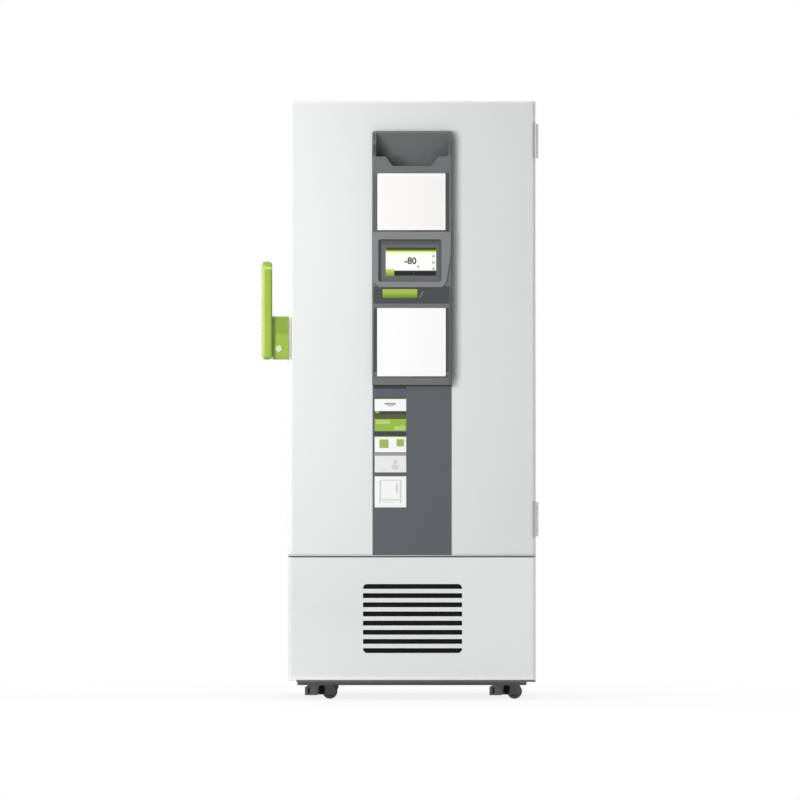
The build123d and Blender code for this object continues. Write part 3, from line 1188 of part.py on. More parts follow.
def latch_lever():
    """Grip with rounded ends, thinner above the housing, fixed on the pivot pin."""
    right = LEVER_LEFT + LEVER_WIDTH
    rear = LEVER_FRONT + LEVER_THICK
    hub_rear = LATCH_PIVOT_Y + LEVER_HUB_MARGIN
    outline = plate_sketch((LEVER_LEFT, right, LEVER_BOTTOM, LEVER_TOP), LEVER_END_RADIUS)
    lever = from_front(outline, LEVER_FRONT, hub_rear)
    lever = chamfer(lever.faces().sort_by(Axis.Y)[0].edges(), LEVER_CHAMFER)
    waist = LATCH_BLOCK_TOP + LEVER_WAIST_RISE
    relief = [
        Line((hub_rear + 1, LATCH_BLOCK_TOP), (hub_rear, LATCH_BLOCK_TOP)),
        ThreePointArc((hub_rear, LATCH_BLOCK_TOP), (rear - 2, (LATCH_BLOCK_TOP + waist) / 2), (rear - 6, waist)),
        Line((rear - 6, waist), (rear, LEVER_TOP + 1)),
        Line((rear, LEVER_TOP + 1), (hub_rear + 1, LEVER_TOP + 1)),
        Line((hub_rear + 1, LEVER_TOP + 1), (hub_rear + 1, LATCH_BLOCK_TOP)),
    ]
    lever -= from_side(make_face(relief), LEVER_LEFT - 1, right + 1)
    socket = rod((right - LEVER_SOCKET, LATCH_PIVOT_Y, LATCH_PIVOT_Z), (right + 1, LATCH_PIVOT_Y, LATCH_PIVOT_Z),
                 LATCH_PIN_RADIUS)
    return lever - socket


def latch_hook():
    """Pivot pin with the hook that drops behind the strike."""
    pin = rod((LEVER_LEFT + LEVER_WIDTH - LEVER_SOCKET, LATCH_PIVOT_Y, LATCH_PIVOT_Z),
              (-HALF - 7, LATCH_PIVOT_Y, LATCH_PIVOT_Z), LATCH_PIN_RADIUS)
    strike_top = STRIKE_Z + STRIKE_RADIUS + STRIKE_LIFT
    under = strike_top + HOOK_TOOTH
    outline = Polyline((LATCH_PIVOT_Y, under - 3), (STRIKE_Y + STRIKE_RADIUS + 3, under),
                       (STRIKE_Y + STRIKE_RADIUS + 5, strike_top), (STRIKE_Y + STRIKE_RADIUS + 12, strike_top),
                       (STRIKE_Y + STRIKE_RADIUS + 22, under + 12), (STRIKE_Y, under + 16),
                       (LATCH_PIVOT_Y, under + 17), close=True)
    face = make_face(outline) + Pos(LATCH_PIVOT_Y, LATCH_PIVOT_Z) * Circle(11)
    return pin + from_side(face, HOOK_LEFT, HOOK_LEFT + HOOK_THICK)


def latch_strike():
    """Strike on the cabinet's side: a base plate and a headed pin."""
    base = from_side(plate_sketch((STRIKE_Y - 22, STRIKE_Y + 32, STRIKE_Z - 42, STRIKE_Z + STRIKE_RADIUS), 6),
                     -HALF - 4, -HALF)
    end = HOOK_LEFT - 4
    base += rod((-HALF - 3, STRIKE_Y, STRIKE_Z), (end, STRIKE_Y, STRIKE_Z), STRIKE_RADIUS)
    web = plate_sketch((STRIKE_Y - 3, STRIKE_Y + 3, STRIKE_Z - 26, STRIKE_Z))
    return base + from_side(web, HOOK_LEFT + 2, -HALF - 3)


def key_cylinder():
    """Lock cylinder with a key slot across its face."""
    front = LATCH_BLOCK_FRONT - KEY_PROUD
    barrel = rod((KEY_X, front, KEY_Z), (KEY_X, LATCH_BLOCK_FRONT + KEY_LENGTH, KEY_Z), KEY_RADIUS)
    rim = barrel.edges().filter_by(GeomType.CIRCLE).group_by(Axis.Y)[0]
    barrel = chamfer(rim, 1)
    return barrel - span(KEY_X - 1, KEY_X + 1, front - 1, front + 5, KEY_Z - 5, KEY_Z + 5)


# Inner doors

def inner_door_limits(upper):
    """Left, right, bottom and top of one inner door."""
    half = THROAT_HALF - INNER_DOOR_GAP
    if upper:
        return (-half, half, MULLION_Z + MULLION_HALF + INNER_DOOR_GAP, THROAT_TOP - INNER_DOOR_GAP)
    return (-half, half, THROAT_BOTTOM + INNER_DOOR_GAP, MULLION_Z - MULLION_HALF - INNER_DOOR_GAP)


def turn_latch_z(upper):
    """Height of an inner door's turn latch."""
    _, _, bottom, top = inner_door_limits(upper)
    return (bottom + top) / 2


def inner_door(upper):
    """Insulated inner door with a sunk centre field, its two pins and the turn latch's bore."""
    limits = inner_door_limits(upper)
    left, right, bottom, top = limits
    rear = INNER_DOOR_FRONT + INNER_DOOR_THICK
    door = from_front(plate_sketch(limits, 4), INNER_DOOR_FRONT, rear)
    door -= from_front(plate_sketch(grown(limits, -48), 18), INNER_DOOR_FRONT - 1, INNER_DOOR_FRONT + 5)
    door -= from_front(plate_sketch(grown(limits, -48), 18), rear - 5, rear + 1)
    reach = INNER_DOOR_GAP + INNER_PIN_REACH
    for start, end in ((bottom + 8, bottom - reach), (top - 8, top + reach)):
        door += rod((INNER_PIN_X, INNER_PIN_Y, start), (INNER_PIN_X, INNER_PIN_Y, end), INNER_PIN_RADIUS)
    z = turn_latch_z(upper)
    return door - rod((TURN_LATCH_X, INNER_DOOR_FRONT - 1, z), (TURN_LATCH_X, INNER_DOOR_FRONT + 12.5, z), 4 + RUNNING_FIT)


def inner_gasket(upper):
    """Soft seal on the rear edge of an inner door."""
    outer = grown(inner_door_limits(upper), -INNER_SEAL_INSET)
    ring = plate_sketch(outer, 6) - plate_sketch(grown(outer, -INNER_SEAL_WIDTH), 4)
    rear = INNER_DOOR_FRONT + INNER_DOOR_THICK
    lip = plate_sketch(grown(outer, -2), 5) - plate_sketch(grown(outer, -INNER_SEAL_WIDTH + 4), 4)
    return from_front(ring, rear, rear + 3) + from_front(lip, rear + 3, THROAT_DEPTH - SEAL_GAP)


def inner_turn_latch(upper):
    """Turn latch of an inner door: a finger on a short spindle."""
    z = turn_latch_z(upper)
    front = INNER_DOOR_FRONT - TURN_LATCH_THICK
    finger = Pos(TURN_LATCH_X, z) * Circle(TURN_LATCH_RADIUS)
    finger += plate_sketch((TURN_LATCH_X - 6, TURN_LATCH_X + 6, z - TURN_LATCH_REACH, z), 5)
    latch = from_front(finger, front, INNER_DOOR_FRONT - SEAL_GAP)
    return latch + rod((TURN_LATCH_X, front + 2, z), (TURN_LATCH_X, INNER_DOOR_FRONT + 12, z), 4)


# Service door

def grille_sketch():
    """Slots of the grille, the first and last with rounded outer corners."""
    slots = []
    for row in range(GRILLE_SLOTS):
        top = GRILLE_TOP - row * GRILLE_PITCH
        slot = plate_sketch((GRILLE_LEFT, GRILLE_RIGHT, top - GRILLE_SLOT_HEIGHT, top))
        corners = slot.vertices().group_by(Axis.Y)
        radius = GRILLE_CORNER if row in (0, GRILLE_SLOTS - 1) else 1.5
        picked = corners[0] if row == GRILLE_SLOTS - 1 else corners[-1]
        slots.append(fillet(picked, radius))
    return Sketch() + slots


def grille_limits():
    """Left, right, bottom and top of the whole grille."""
    bottom = GRILLE_TOP - (GRILLE_SLOTS - 1) * GRILLE_PITCH - GRILLE_SLOT_HEIGHT
    return (GRILLE_LEFT, GRILLE_RIGHT, bottom, GRILLE_TOP)


def service_door_panel():
    """Folded tray with the grille, rear folds, filter channels and two hinge pins."""
    tray = from_top(front_rounded_plan(HALF, SERVICE_FRONT, SERVICE_REAR, DOOR_EDGE_RADIUS), SERVICE_BOTTOM, SERVICE_TOP)
    inner = from_top(front_rounded_plan(HALF - SHEET, SERVICE_FRONT + SHEET, SERVICE_REAR, DOOR_EDGE_RADIUS - SHEET),
                     SERVICE_BOTTOM + SHEET, SERVICE_TOP - SHEET)
    opening = (-HALF + SERVICE_RETURN, HALF - SERVICE_RETURN, SERVICE_BOTTOM + SERVICE_RETURN,
               SERVICE_TOP - SERVICE_RETURN)
    folds = span(-HALF, HALF, SERVICE_REAR - SHEET, SERVICE_REAR, SERVICE_BOTTOM, SERVICE_TOP) & tray
    panel = tray - inner + (folds - from_front(plate_sketch(opening), SERVICE_REAR - 5, SERVICE_REAR + 1))
    panel -= from_front(grille_sketch(), SERVICE_FRONT - 1, SERVICE_FRONT + SHEET + 1)
    left, right, bottom, top = grown(grille_limits(), FILTER_MARGIN)
    back = SERVICE_FRONT + SHEET
    for low, high in ((bottom - 6, bottom), (top, top + 6)):
        lip = 4 if low < bottom else -4
        edge = high if low < bottom else low
        panel += span(left, right, back, back + FILTER_THICK + 4, low, high)
        panel += span(left, right, back + FILTER_THICK + 2, back + FILTER_THICK + 4, min(edge, edge + lip),
                      max(edge, edge + lip))
    for start, end in ((SERVICE_BOTTOM + 12, EAR_TOP - EAR_THICK), (SERVICE_TOP - 12, DECK_TOP)):
        panel += rod((SERVICE_PIN_X, SERVICE_PIN_Y, start), (SERVICE_PIN_X, SERVICE_PIN_Y, end), SERVICE_PIN_RADIUS)
    return panel


def air_filter():
    """Filter mat in a thin frame, held in the channels behind the grille."""
    limits = grown(grille_limits(), FILTER_MARGIN - SEAL_GAP)
    back = SERVICE_FRONT + SHEET + SEAL_GAP
    mat = from_front(plate_sketch(limits), back, back + FILTER_THICK)
    return mat - from_front(plate_sketch(grown(limits, -8), 4), back - 1, back + 3)


def collect():
    """Every node's name with its solids."""
    nodes = {
        "side_panels": side_panels(),
        "top_panel": top_panel(),
        "rear_panel": rear_panel(),
        "rear_machine_cover": rear_machine_cover(),
        "power_inlet": power_inlet(),
        "rear_spacers": rear_spacers(),
        "cabinet_insulation": cabinet_insulation(),
        "inner_liner": inner_liner(),
        "front_frame": [front_frame(), cabinet_mullion()],
        "shelf_rails": shelf_rails(),
        "shelves": shelves(),
        "machine_deck": machine_deck(),
        "front_cheeks": front_cheeks(),
        "base_frame": base_frame(),
        "base_skirt": base_skirt(),
        "base_pan": base_pan(),
        "caster_plates": caster_plates(),
        "compressor_first_stage": compressor(WELL_CENTRES[0]),
        "compressor_second_stage": compressor(WELL_CENTRES[1]),
        "condenser_coil": condenser_coil(),
        "fan_shroud": fan_shroud(),
        "fan_blades": fan_blades(),
        "heat_exchanger_box": heat_exchanger_box(),
        "refrigerant_lines": refrigerant_lines(),
        "electrical_box": electrical_box(),
        "latch_strike": latch_strike(),
        "cabinet_hinge_leaves": cabinet_hinge_leaves(),
        "door_outer_skin": door_outer_skin(),
        "door_insulation": door_insulation(),
        "door_inner_panel": door_inner_panel(),
        "door_gasket": door_gasket(),
        "door_hinge_leaves": door_hinge_leaves(),
        "control_column": control_column(),
        "column_lower_strip": column_lower_strip(),
        "column_cards": column_cards(),
        "display_bezel": display_bezel(),
        "touch_screen": touch_screen(),
        "status_light_bar": status_light_bar(),
        "latch_housing": latch_housing(),
        "latch_lever": latch_lever(),
        "latch_hook": latch_hook(),
        "key_cylinder": key_cylinder(),
        "service_door_panel": service_door_panel(),
        "air_filter": air_filter(),
    }
    for name, upper in (("upper", True), ("lower", False)):
        nodes["inner_door_" + name] = inner_door(upper)
        nodes["inner_gasket_" + name] = inner_gasket(upper)
        nodes["inner_latch_" + name] = inner_turn_latch(upper)
    for name, x, y in caster_places():
        place = Pos(x, y, 0)
        nodes["caster_fork_" + name] = place * caster_fork()
        nodes["caster_wheel_" + name] = place * caster_wheel()
        if name.startswith("front"):
            nodes["brake_pedal_" + name] = place * brake_pedal()
    return nodes


def origin_shift():
    """Move that puts the origin under the middle of the whole object."""
    right = HINGE_X + HINGE_BARREL_RADIUS
    rear = DEPTH + SPACER_LENGTH
    return Pos(-(LEVER_LEFT + right) / 2, -(LEVER_FRONT + rear) / 2, 0)


def main():
    """Write one file for each node."""
    os.makedirs("parts", exist_ok=True)
    shift = origin_shift()
    for name, made in collect().items():
        pieces = made if isinstance(made, list) else [made]
        solids = [solid for piece in pieces for solid in (shift * piece).solids()]
        shape = solids[0] if len(solids) == 1 else Compound(children=solids)
        shape.label = name
        export_step(shape, os.path.join("parts", name + ".step"))


main()
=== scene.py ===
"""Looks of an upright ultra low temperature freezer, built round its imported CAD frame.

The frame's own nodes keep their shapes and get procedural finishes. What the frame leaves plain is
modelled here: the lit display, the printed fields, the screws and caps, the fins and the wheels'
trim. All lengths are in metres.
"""

from __future__ import annotations

import logging
import math
from dataclasses import dataclass, field, replace
from enum import Enum
from typing import Callable, Iterable, Sequence

import bmesh
import bpy
from mathutils import Matrix, Vector

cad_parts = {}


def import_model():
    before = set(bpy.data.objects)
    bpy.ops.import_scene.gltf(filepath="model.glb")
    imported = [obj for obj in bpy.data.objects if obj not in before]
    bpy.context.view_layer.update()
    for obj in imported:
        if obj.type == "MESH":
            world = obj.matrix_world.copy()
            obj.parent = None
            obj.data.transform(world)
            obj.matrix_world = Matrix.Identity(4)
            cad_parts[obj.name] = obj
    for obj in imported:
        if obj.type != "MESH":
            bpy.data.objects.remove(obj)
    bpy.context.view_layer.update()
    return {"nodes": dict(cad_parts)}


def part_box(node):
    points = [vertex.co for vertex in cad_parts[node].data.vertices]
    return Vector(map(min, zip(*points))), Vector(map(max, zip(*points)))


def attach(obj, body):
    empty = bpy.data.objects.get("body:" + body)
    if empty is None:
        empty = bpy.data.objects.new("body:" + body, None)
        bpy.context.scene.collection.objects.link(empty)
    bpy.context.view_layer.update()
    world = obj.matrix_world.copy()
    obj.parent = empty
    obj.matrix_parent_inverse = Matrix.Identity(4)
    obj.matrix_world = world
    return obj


LOG = logging.getLogger("freezer")
MM = 0.001

Rgb = tuple[int, int, int]


def linear(colour: Rgb, alpha: float = 1.0) -> tuple[float, float, float, float]:
    """Turn a screen colour into the renderer's linear colour.

    Args:
        colour: Red, green and blue from 0 to 255.
        alpha: Opacity of the result.

    Returns:
        Linear red, green, blue and alpha.
    """
    parts = []
    for value in colour:
        share = value / 255
        parts.append(share / 12.92 if share <= 0.04045 else ((share + 0.055) / 1.055) ** 2.4)
    return (parts[0], parts[1], parts[2], alpha)


class Axis(Enum):
    """Directions of the object's own frame."""

    X = (1.0, 0.0, 0.0)
    Y = (0.0, 1.0, 0.0)
    Z = (0.0, 0.0, 1.0)

    @property
    def vector(self) -> Vector:
        """The direction as a vector."""
        return Vector(self.value)


class Grain(Enum):
    """Kinds of surface relief that the freezer's materials show."""

    PEEL = "faint orange peel of powder coat"
    MOULDED = "spark grain of moulded plastic"
    BRUSHED = "fine lines of rolled or brushed sheet"
    BLASTED = "pitted skin of cast, blasted or zinc coated steel"
    FIBRE = "matted fibres of fleece and paper"
    CELLS = "open cells of cut foam"
    POLISHED = "polished, with nothing but faint waves"


@dataclass(frozen=True)
class Box:
    """A node's lowest and highest corner at rest."""

    low: Vector
    high: Vector

    @staticmethod
    def of(node: str) -> "Box":
        """Read a CAD node's box from the frame."""
        low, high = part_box(node)
        return Box(low, high)

    @property
    def centre(self) -> Vector:
        """Middle of the box."""
        return (self.low + self.high) / 2

    @property
    def size(self) -> Vector:
        """Extents of the box."""
        return self.high - self.low


# Effects shared by the finishes


class GroupSketch:
    """A shader node group while it is being drawn up."""

    def __init__(self, name: str) -> None:
        """Start an empty group.

        Args:
            name: Name of the group.
        """
        self.tree = bpy.data.node_groups.new(name, "ShaderNodeTree")
        self.entry = self.tree.nodes.new("NodeGroupInput")
        self.exit = self.tree.nodes.new("NodeGroupOutput")

    def takes(self, name: str, kind: str, value: float | tuple | None = None) -> None:
        """Add a named input, with its default value where it has one."""
        socket = self.tree.interface.new_socket(name=name, in_out="INPUT", socket_type=kind)
        if value is not None:
            socket.default_value = value

    def gives(self, name: str, kind: str) -> None:
        """Add a named output."""
        self.tree.interface.new_socket(name=name, in_out="OUTPUT", socket_type=kind)

    def node(self, kind: str, **settings: object) -> bpy.types.Node:
        """Add a node with its settings."""
        made = self.tree.nodes.new(kind)
        for key, value in settings.items():
            setattr(made, key, value)
        return made

    def join(self, source: bpy.types.NodeSocket, target: bpy.types.NodeSocket) -> None:
        """Link two sockets."""
        self.tree.links.new(source, target)

    def math(self, operation: str, first: object, second: object = None, third: object = None,
             clamp: bool = False) -> bpy.types.NodeSocket:
        """Add a math node.

        Args:
            operation: Name of the operation.
            first: A socket or a number.
            second: A socket or a number, where the operation has one.
            third: A socket or a number, where the operation has one.
            clamp: Whether the result is held between 0 and 1.

        Returns:
            The node's output socket.
        """
        made = self.node("ShaderNodeMath", operation=operation, use_clamp=clamp)
        for index, value in enumerate((first, second, third)):
            if isinstance(value, bpy.types.NodeSocket):
                self.join(value, made.inputs[index])
            elif value is not None:
                made.inputs[index].default_value = value
        return made.outputs[0]

    def noise(self, vector: bpy.types.NodeSocket, scale: object, detail: float,
              roughness: float = 0.5) -> bpy.types.NodeSocket:
        """Add a noise texture and return its value, about 0.5 on average."""
        made = self.node("ShaderNodeTexNoise")
        made.inputs["Detail"].default_value = detail
        made.inputs["Roughness"].default_value = roughness
        self.join(vector, made.inputs["Vector"])
        if isinstance(scale, bpy.types.NodeSocket):
            self.join(scale, made.inputs["Scale"])
        else:
            made.inputs["Scale"].default_value = scale
        return made.outputs["Fac"]

    def stretch(self, value: bpy.types.NodeSocket, low: float, high: float) -> bpy.types.NodeSocket:
        """Map a value from low..high to 0..1, held within that range."""
        made = self.node("ShaderNodeMapRange", clamp=True)
        made.inputs["From Min"].default_value = low
        made.inputs["From Max"].default_value = high
        self.join(value, made.inputs["Value"])
        return made.outputs["Result"]


class Effects:
    """The node groups that more than one finish uses, each drawn up once."""

    def __init__(self) -> None:
        """Draw up all groups."""
        self.tone = self._uneven_tone()
        self.smears = self._handling_smears()
        self.dust = self._settled_dust()
        self.zone = self._inside_zone()
        self.relief = {
            Grain.PEEL: self._orange_peel(),
            Grain.MOULDED: self._spark_grain(),
            Grain.BRUSHED: self._brushed_lines(),
            Grain.BLASTED: self._blasted_skin(),
            Grain.FIBRE: self._matted_fibre(),
            Grain.CELLS: self._foam_cells(),
            Grain.POLISHED: self._polish_waves(),
        }

    @staticmethod
    def _relief_sketch(name: str, size: float) -> GroupSketch:
        """Start a relief group with its usual sockets."""
        sketch = GroupSketch(name)
        sketch.takes("Vector", "NodeSocketVector")
        sketch.takes("Size", "NodeSocketFloat", size)
        sketch.gives("Height", "NodeSocketFloat")
        sketch.gives("Mask", "NodeSocketFloat")
        return sketch

    @staticmethod
    def _uneven_tone() -> bpy.types.NodeTree:
        """Slow drift of a colour towards its darker tone, with a finer mottling on top."""
        sketch = GroupSketch("uneven_tone")
        sketch.takes("Vector", "NodeSocketVector")
        sketch.takes("Colour", "NodeSocketColor", (0.8, 0.8, 0.8, 1.0))
        sketch.takes("Shade", "NodeSocketColor", (0.6, 0.6, 0.6, 1.0))
        sketch.takes("Patch Size", "NodeSocketFloat", 0.3)
        sketch.takes("Amount", "NodeSocketFloat", 0.3)
        sketch.gives("Colour", "NodeSocketColor")
        sketch.gives("Mask", "NodeSocketFloat")
        source = sketch.entry.outputs
        broad = sketch.noise(source["Vector"], sketch.math("DIVIDE", 1.0, source["Patch Size"]), 2.0)
        fine = sketch.noise(source["Vector"], sketch.math("DIVIDE", 14.0, source["Patch Size"]), 4.0, 0.6)
        blended = sketch.math("ADD", sketch.math("MULTIPLY", sketch.stretch(broad, 0.35, 0.65), 0.7),
                              sketch.math("MULTIPLY", sketch.stretch(fine, 0.35, 0.65), 0.3))
        mask = sketch.math("MULTIPLY", blended, source["Amount"], clamp=True)
        mix = sketch.node("ShaderNodeMix", data_type="RGBA")
        sketch.join(mask, mix.inputs["Factor"])
        sketch.join(source["Colour"], mix.inputs[6])
        sketch.join(source["Shade"], mix.inputs[7])
        sketch.join(mix.outputs[2], sketch.exit.inputs["Colour"])
        sketch.join(blended, sketch.exit.inputs["Mask"])
        return sketch.tree

    @staticmethod
    def _handling_smears() -> bpy.types.NodeTree:
        """Wiped streaks and finger marks, as a mask for roughness."""
        sketch = GroupSketch("handling_smears")
        sketch.takes("Vector", "NodeSocketVector")
        sketch.takes("Size", "NodeSocketFloat", 0.12)
        sketch.gives("Mask", "NodeSocketFloat")
        source = sketch.entry.outputs
        turn = sketch.node("ShaderNodeMapping")
        turn.inputs["Rotation"].default_value = (0.3, 0.5, 0.2)
        turn.inputs["Scale"].default_value = (1.0, 1.0, 0.28)
        sketch.join(source["Vector"], turn.inputs["Vector"])
        scale = sketch.math("DIVIDE", 1.0, source["Size"])
        streaks = sketch.noise(turn.outputs["Vector"], scale, 5.0, 0.62)
        spots = sketch.noise(source["Vector"], sketch.math("MULTIPLY", scale, 5.0), 2.0)
        mask = sketch.math("MULTIPLY_ADD", sketch.stretch(streaks, 0.42, 0.7), 0.75,
                           sketch.math("MULTIPLY", sketch.stretch(spots, 0.55, 0.75), 0.25), clamp=True)
        sketch.join(mask, sketch.exit.inputs["Mask"])
        return sketch.tree

    @staticmethod
    def _settled_dust() -> bpy.types.NodeTree:
        """Dust that lies on faces turned upwards."""
        sketch = GroupSketch("settled_dust")
        sketch.takes("Vector", "NodeSocketVector")
        sketch.takes("Colour", "NodeSocketColor", (0.8, 0.8, 0.8, 1.0))
        sketch.takes("Dust", "NodeSocketColor", (0.5, 0.48, 0.45, 1.0))
        sketch.takes("Amount", "NodeSocketFloat", 0.2)
        sketch.gives("Colour", "NodeSocketColor")
        sketch.gives("Mask", "NodeSocketFloat")
        source = sketch.entry.outputs
        surface = sketch.node("ShaderNodeNewGeometry")
        split = sketch.node("ShaderNodeSeparateXYZ")
        sketch.join(surface.outputs["Normal"], split.inputs["Vector"])
        upward = sketch.stretch(split.outputs["Z"], 0.55, 0.98)
        drift = sketch.stretch(sketch.noise(source["Vector"], 9.0, 5.0, 0.65), 0.35, 0.7)
        specks = sketch.stretch(sketch.noise(source["Vector"], 420.0, 2.0), 0.5, 0.72)
        laid = sketch.math("MULTIPLY_ADD", drift, 0.7, sketch.math("MULTIPLY", specks, 0.3))
        mask = sketch.math("MULTIPLY", sketch.math("MULTIPLY", upward, laid), source["Amount"], clamp=True)
        mix = sketch.node("ShaderNodeMix", data_type="RGBA")
        sketch.join(mask, mix.inputs["Factor"])
        sketch.join(source["Colour"], mix.inputs[6])
        sketch.join(source["Dust"], mix.inputs[7])
        sketch.join(mix.outputs[2], sketch.exit.inputs["Colour"])
        sketch.join(mask, sketch.exit.inputs["Mask"])
        return sketch.tree

    @staticmethod
    def _inside_zone() -> bpy.types.NodeTree:
        """Mask of what lies between two corners, with a soft edge.

        Returns:
            The group's node tree.
        """
        sketch = GroupSketch("inside_zone")
        sketch.takes("Vector", "NodeSocketVector")
        sketch.takes("Low", "NodeSocketVector")
        sketch.takes("High", "NodeSocketVector")
        sketch.takes("Edge", "NodeSocketFloat", 0.0004)
        sketch.gives("Mask", "NodeSocketFloat")
        source = sketch.entry.outputs
        parts = []
        for name in ("Vector", "Low", "High"):
            split = sketch.node("ShaderNodeSeparateXYZ")
            sketch.join(source[name], split.inputs["Vector"])
            parts.append(split.outputs)
        mask = 1.0
        for axis in range(3):
            rise = sketch.math("DIVIDE", sketch.math("SUBTRACT", parts[0][axis], parts[1][axis]), source["Edge"],
                               clamp=True)
            fall = sketch.math("DIVIDE", sketch.math("SUBTRACT", parts[2][axis], parts[0][axis]), source["Edge"],
                               clamp=True)
            mask = sketch.math("MULTIPLY", sketch.math("MULTIPLY", rise, fall), mask)
        sketch.join(mask, sketch.exit.inputs["Mask"])
        return sketch.tree

    @classmethod
    def _orange_peel(cls) -> bpy.types.NodeTree:
        """Soft dimples of sprayed powder coat."""
        sketch = cls._relief_sketch("orange_peel", 0.002)
        source = sketch.entry.outputs
        scale = sketch.math("DIVIDE", 1.0, source["Size"])
        dimples = sketch.noise(source["Vector"], scale, 1.5, 0.45)
        waves = sketch.noise(source["Vector"], sketch.math("MULTIPLY", scale, 0.12), 1.0)
        height = sketch.math("MULTIPLY_ADD", waves, 0.6, dimples)
        sketch.join(height, sketch.exit.inputs["Height"])
        sketch.join(sketch.stretch(dimples, 0.3, 0.7), sketch.exit.inputs["Mask"])
        return sketch.tree

    @classmethod
    def _spark_grain(cls) -> bpy.types.NodeTree:
        """Leathery spark grain that a mould leaves on plastic."""
        sketch = cls._relief_sketch("spark_grain", 0.0007)
        source = sketch.entry.outputs
        scale = sketch.math("DIVIDE", 1.0, source["Size"])
        cells = sketch.node("ShaderNodeTexVoronoi", feature="SMOOTH_F1")
        sketch.join(source["Vector"], cells.inputs["Vector"])
        sketch.join(scale, cells.inputs["Scale"])
        cells.inputs["Smoothness"].default_value = 0.6
        pits = sketch.noise(source["Vector"], sketch.math("MULTIPLY", scale, 1.7), 2.0)
        height = sketch.math("MULTIPLY_ADD", pits, 0.5, cells.outputs["Distance"])
        sketch.join(height, sketch.exit.inputs["Height"])
        sketch.join(sketch.stretch(pits, 0.35, 0.65), sketch.exit.inputs["Mask"])
        return sketch.tree

    @classmethod
    def _brushed_lines(cls) -> bpy.types.NodeTree:
        """Fine lines along the vector's first direction."""
        sketch = cls._relief_sketch("brushed_lines", 0.0006)
        source = sketch.entry.outputs
        turn = sketch.node("ShaderNodeMapping")
        turn.inputs["Scale"].default_value = (0.012, 1.0, 1.0)
        sketch.join(source["Vector"], turn.inputs["Vector"])
        scale = sketch.math("DIVIDE", 1.0, source["Size"])
        lines = sketch.noise(turn.outputs["Vector"], scale, 3.0, 0.7)
        bands = sketch.noise(turn.outputs["Vector"], sketch.math("MULTIPLY", scale, 0.08), 3.0)
        sketch.join(sketch.math("MULTIPLY_ADD", bands, 0.3, lines), sketch.exit.inputs["Height"])
        sketch.join(sketch.math("MULTIPLY_ADD", sketch.stretch(bands, 0.35, 0.65), 0.5,
                                sketch.math("MULTIPLY", lines, 0.5)), sketch.exit.inputs["Mask"])
        return sketch.tree

    @classmethod
    def _blasted_skin(cls) -> bpy.types.NodeTree:
        """Pitted skin with a coarser spangle under it."""
        sketch = cls._relief_sketch("blasted_skin", 0.001)
        source = sketch.entry.outputs
        scale = sketch.math("DIVIDE", 1.0, source["Size"])
        pits = sketch.noise(source["Vector"], scale, 4.0, 0.7)
        spangle = sketch.node("ShaderNodeTexVoronoi", feature="F1")
        sketch.join(source["Vector"], spangle.inputs["Vector"])
        sketch.join(sketch.math("MULTIPLY", scale, 0.1), spangle.inputs["Scale"])
        tint = sketch.node("ShaderNodeSeparateColor")
        sketch.join(spangle.outputs["Color"], tint.inputs["Color"])
        sketch.join(pits, sketch.exit.inputs["Height"])
        sketch.join(tint.outputs["Red"], sketch.exit.inputs["Mask"])
        return sketch.tree

    @classmethod
    def _matted_fibre(cls) -> bpy.types.NodeTree:
        """Short crossing fibres."""
        sketch = cls._relief_sketch("matted_fibre", 0.0008)
        source = sketch.entry.outputs
        scale = sketch.math("DIVIDE", 1.0, source["Size"])
        layers = []
        for turned in ((0.4, 0.1, 0.7), (1.3, 0.9, 2.2)):
            turn = sketch.node("ShaderNodeMapping")
            turn.inputs["Rotation"].default_value = turned
            turn.inputs["Scale"].default_value = (0.14, 1.0, 1.0)
            sketch.join(source["Vector"], turn.inputs["Vector"])
            layers.append(sketch.noise(turn.outputs["Vector"], scale, 3.0, 0.65))
        height = sketch.math("MAXIMUM", layers[0], layers[1])
        sketch.join(height, sketch.exit.inputs["Height"])
        sketch.join(sketch.stretch(height, 0.4, 0.7), sketch.exit.inputs["Mask"])
        return sketch.tree

    @classmethod
    def _foam_cells(cls) -> bpy.types.NodeTree:
        """Cut cells of rigid foam."""
        sketch = cls._relief_sketch("foam_cells", 0.0012)
        source = sketch.entry.outputs
        scale = sketch.math("DIVIDE", 1.0, source["Size"])
        cells = sketch.node("ShaderNodeTexVoronoi", feature="DISTANCE_TO_EDGE")
        sketch.join(source["Vector"], cells.inputs["Vector"])
        sketch.join(scale, cells.inputs["Scale"])
        walls = sketch.stretch(cells.outputs["Distance"], 0.0, 0.35)
        sketch.join(sketch.math("SUBTRACT", 1.0, walls), sketch.exit.inputs["Height"])
        sketch.join(walls, sketch.exit.inputs["Mask"])
        return sketch.tree

    @classmethod
    def _polish_waves(cls) -> bpy.types.NodeTree:
        """Very low waves of a polished or glazed face."""
        sketch = cls._relief_sketch("polish_waves", 0.03)
        source = sketch.entry.outputs
        scale = sketch.math("DIVIDE", 1.0, source["Size"])
        waves = sketch.noise(source["Vector"], scale, 1.0, 0.4)
        hairlines = sketch.noise(source["Vector"], sketch.math("MULTIPLY", scale, 60.0), 3.0, 0.7)
        sketch.join(waves, sketch.exit.inputs["Height"])
        sketch.join(sketch.stretch(hairlines, 0.45, 0.75), sketch.exit.inputs["Mask"])
        return sketch.tree


# Finishes


@dataclass(frozen=True)
class Zone:
    """Part of a surface with its own tone, between two corners; the finishes use it for painted light and shade."""

    low: tuple[float, float, float]
    high: tuple[float, float, float]
    colour: Rgb
    edge: float = 0.0004
    share: float = 1.0


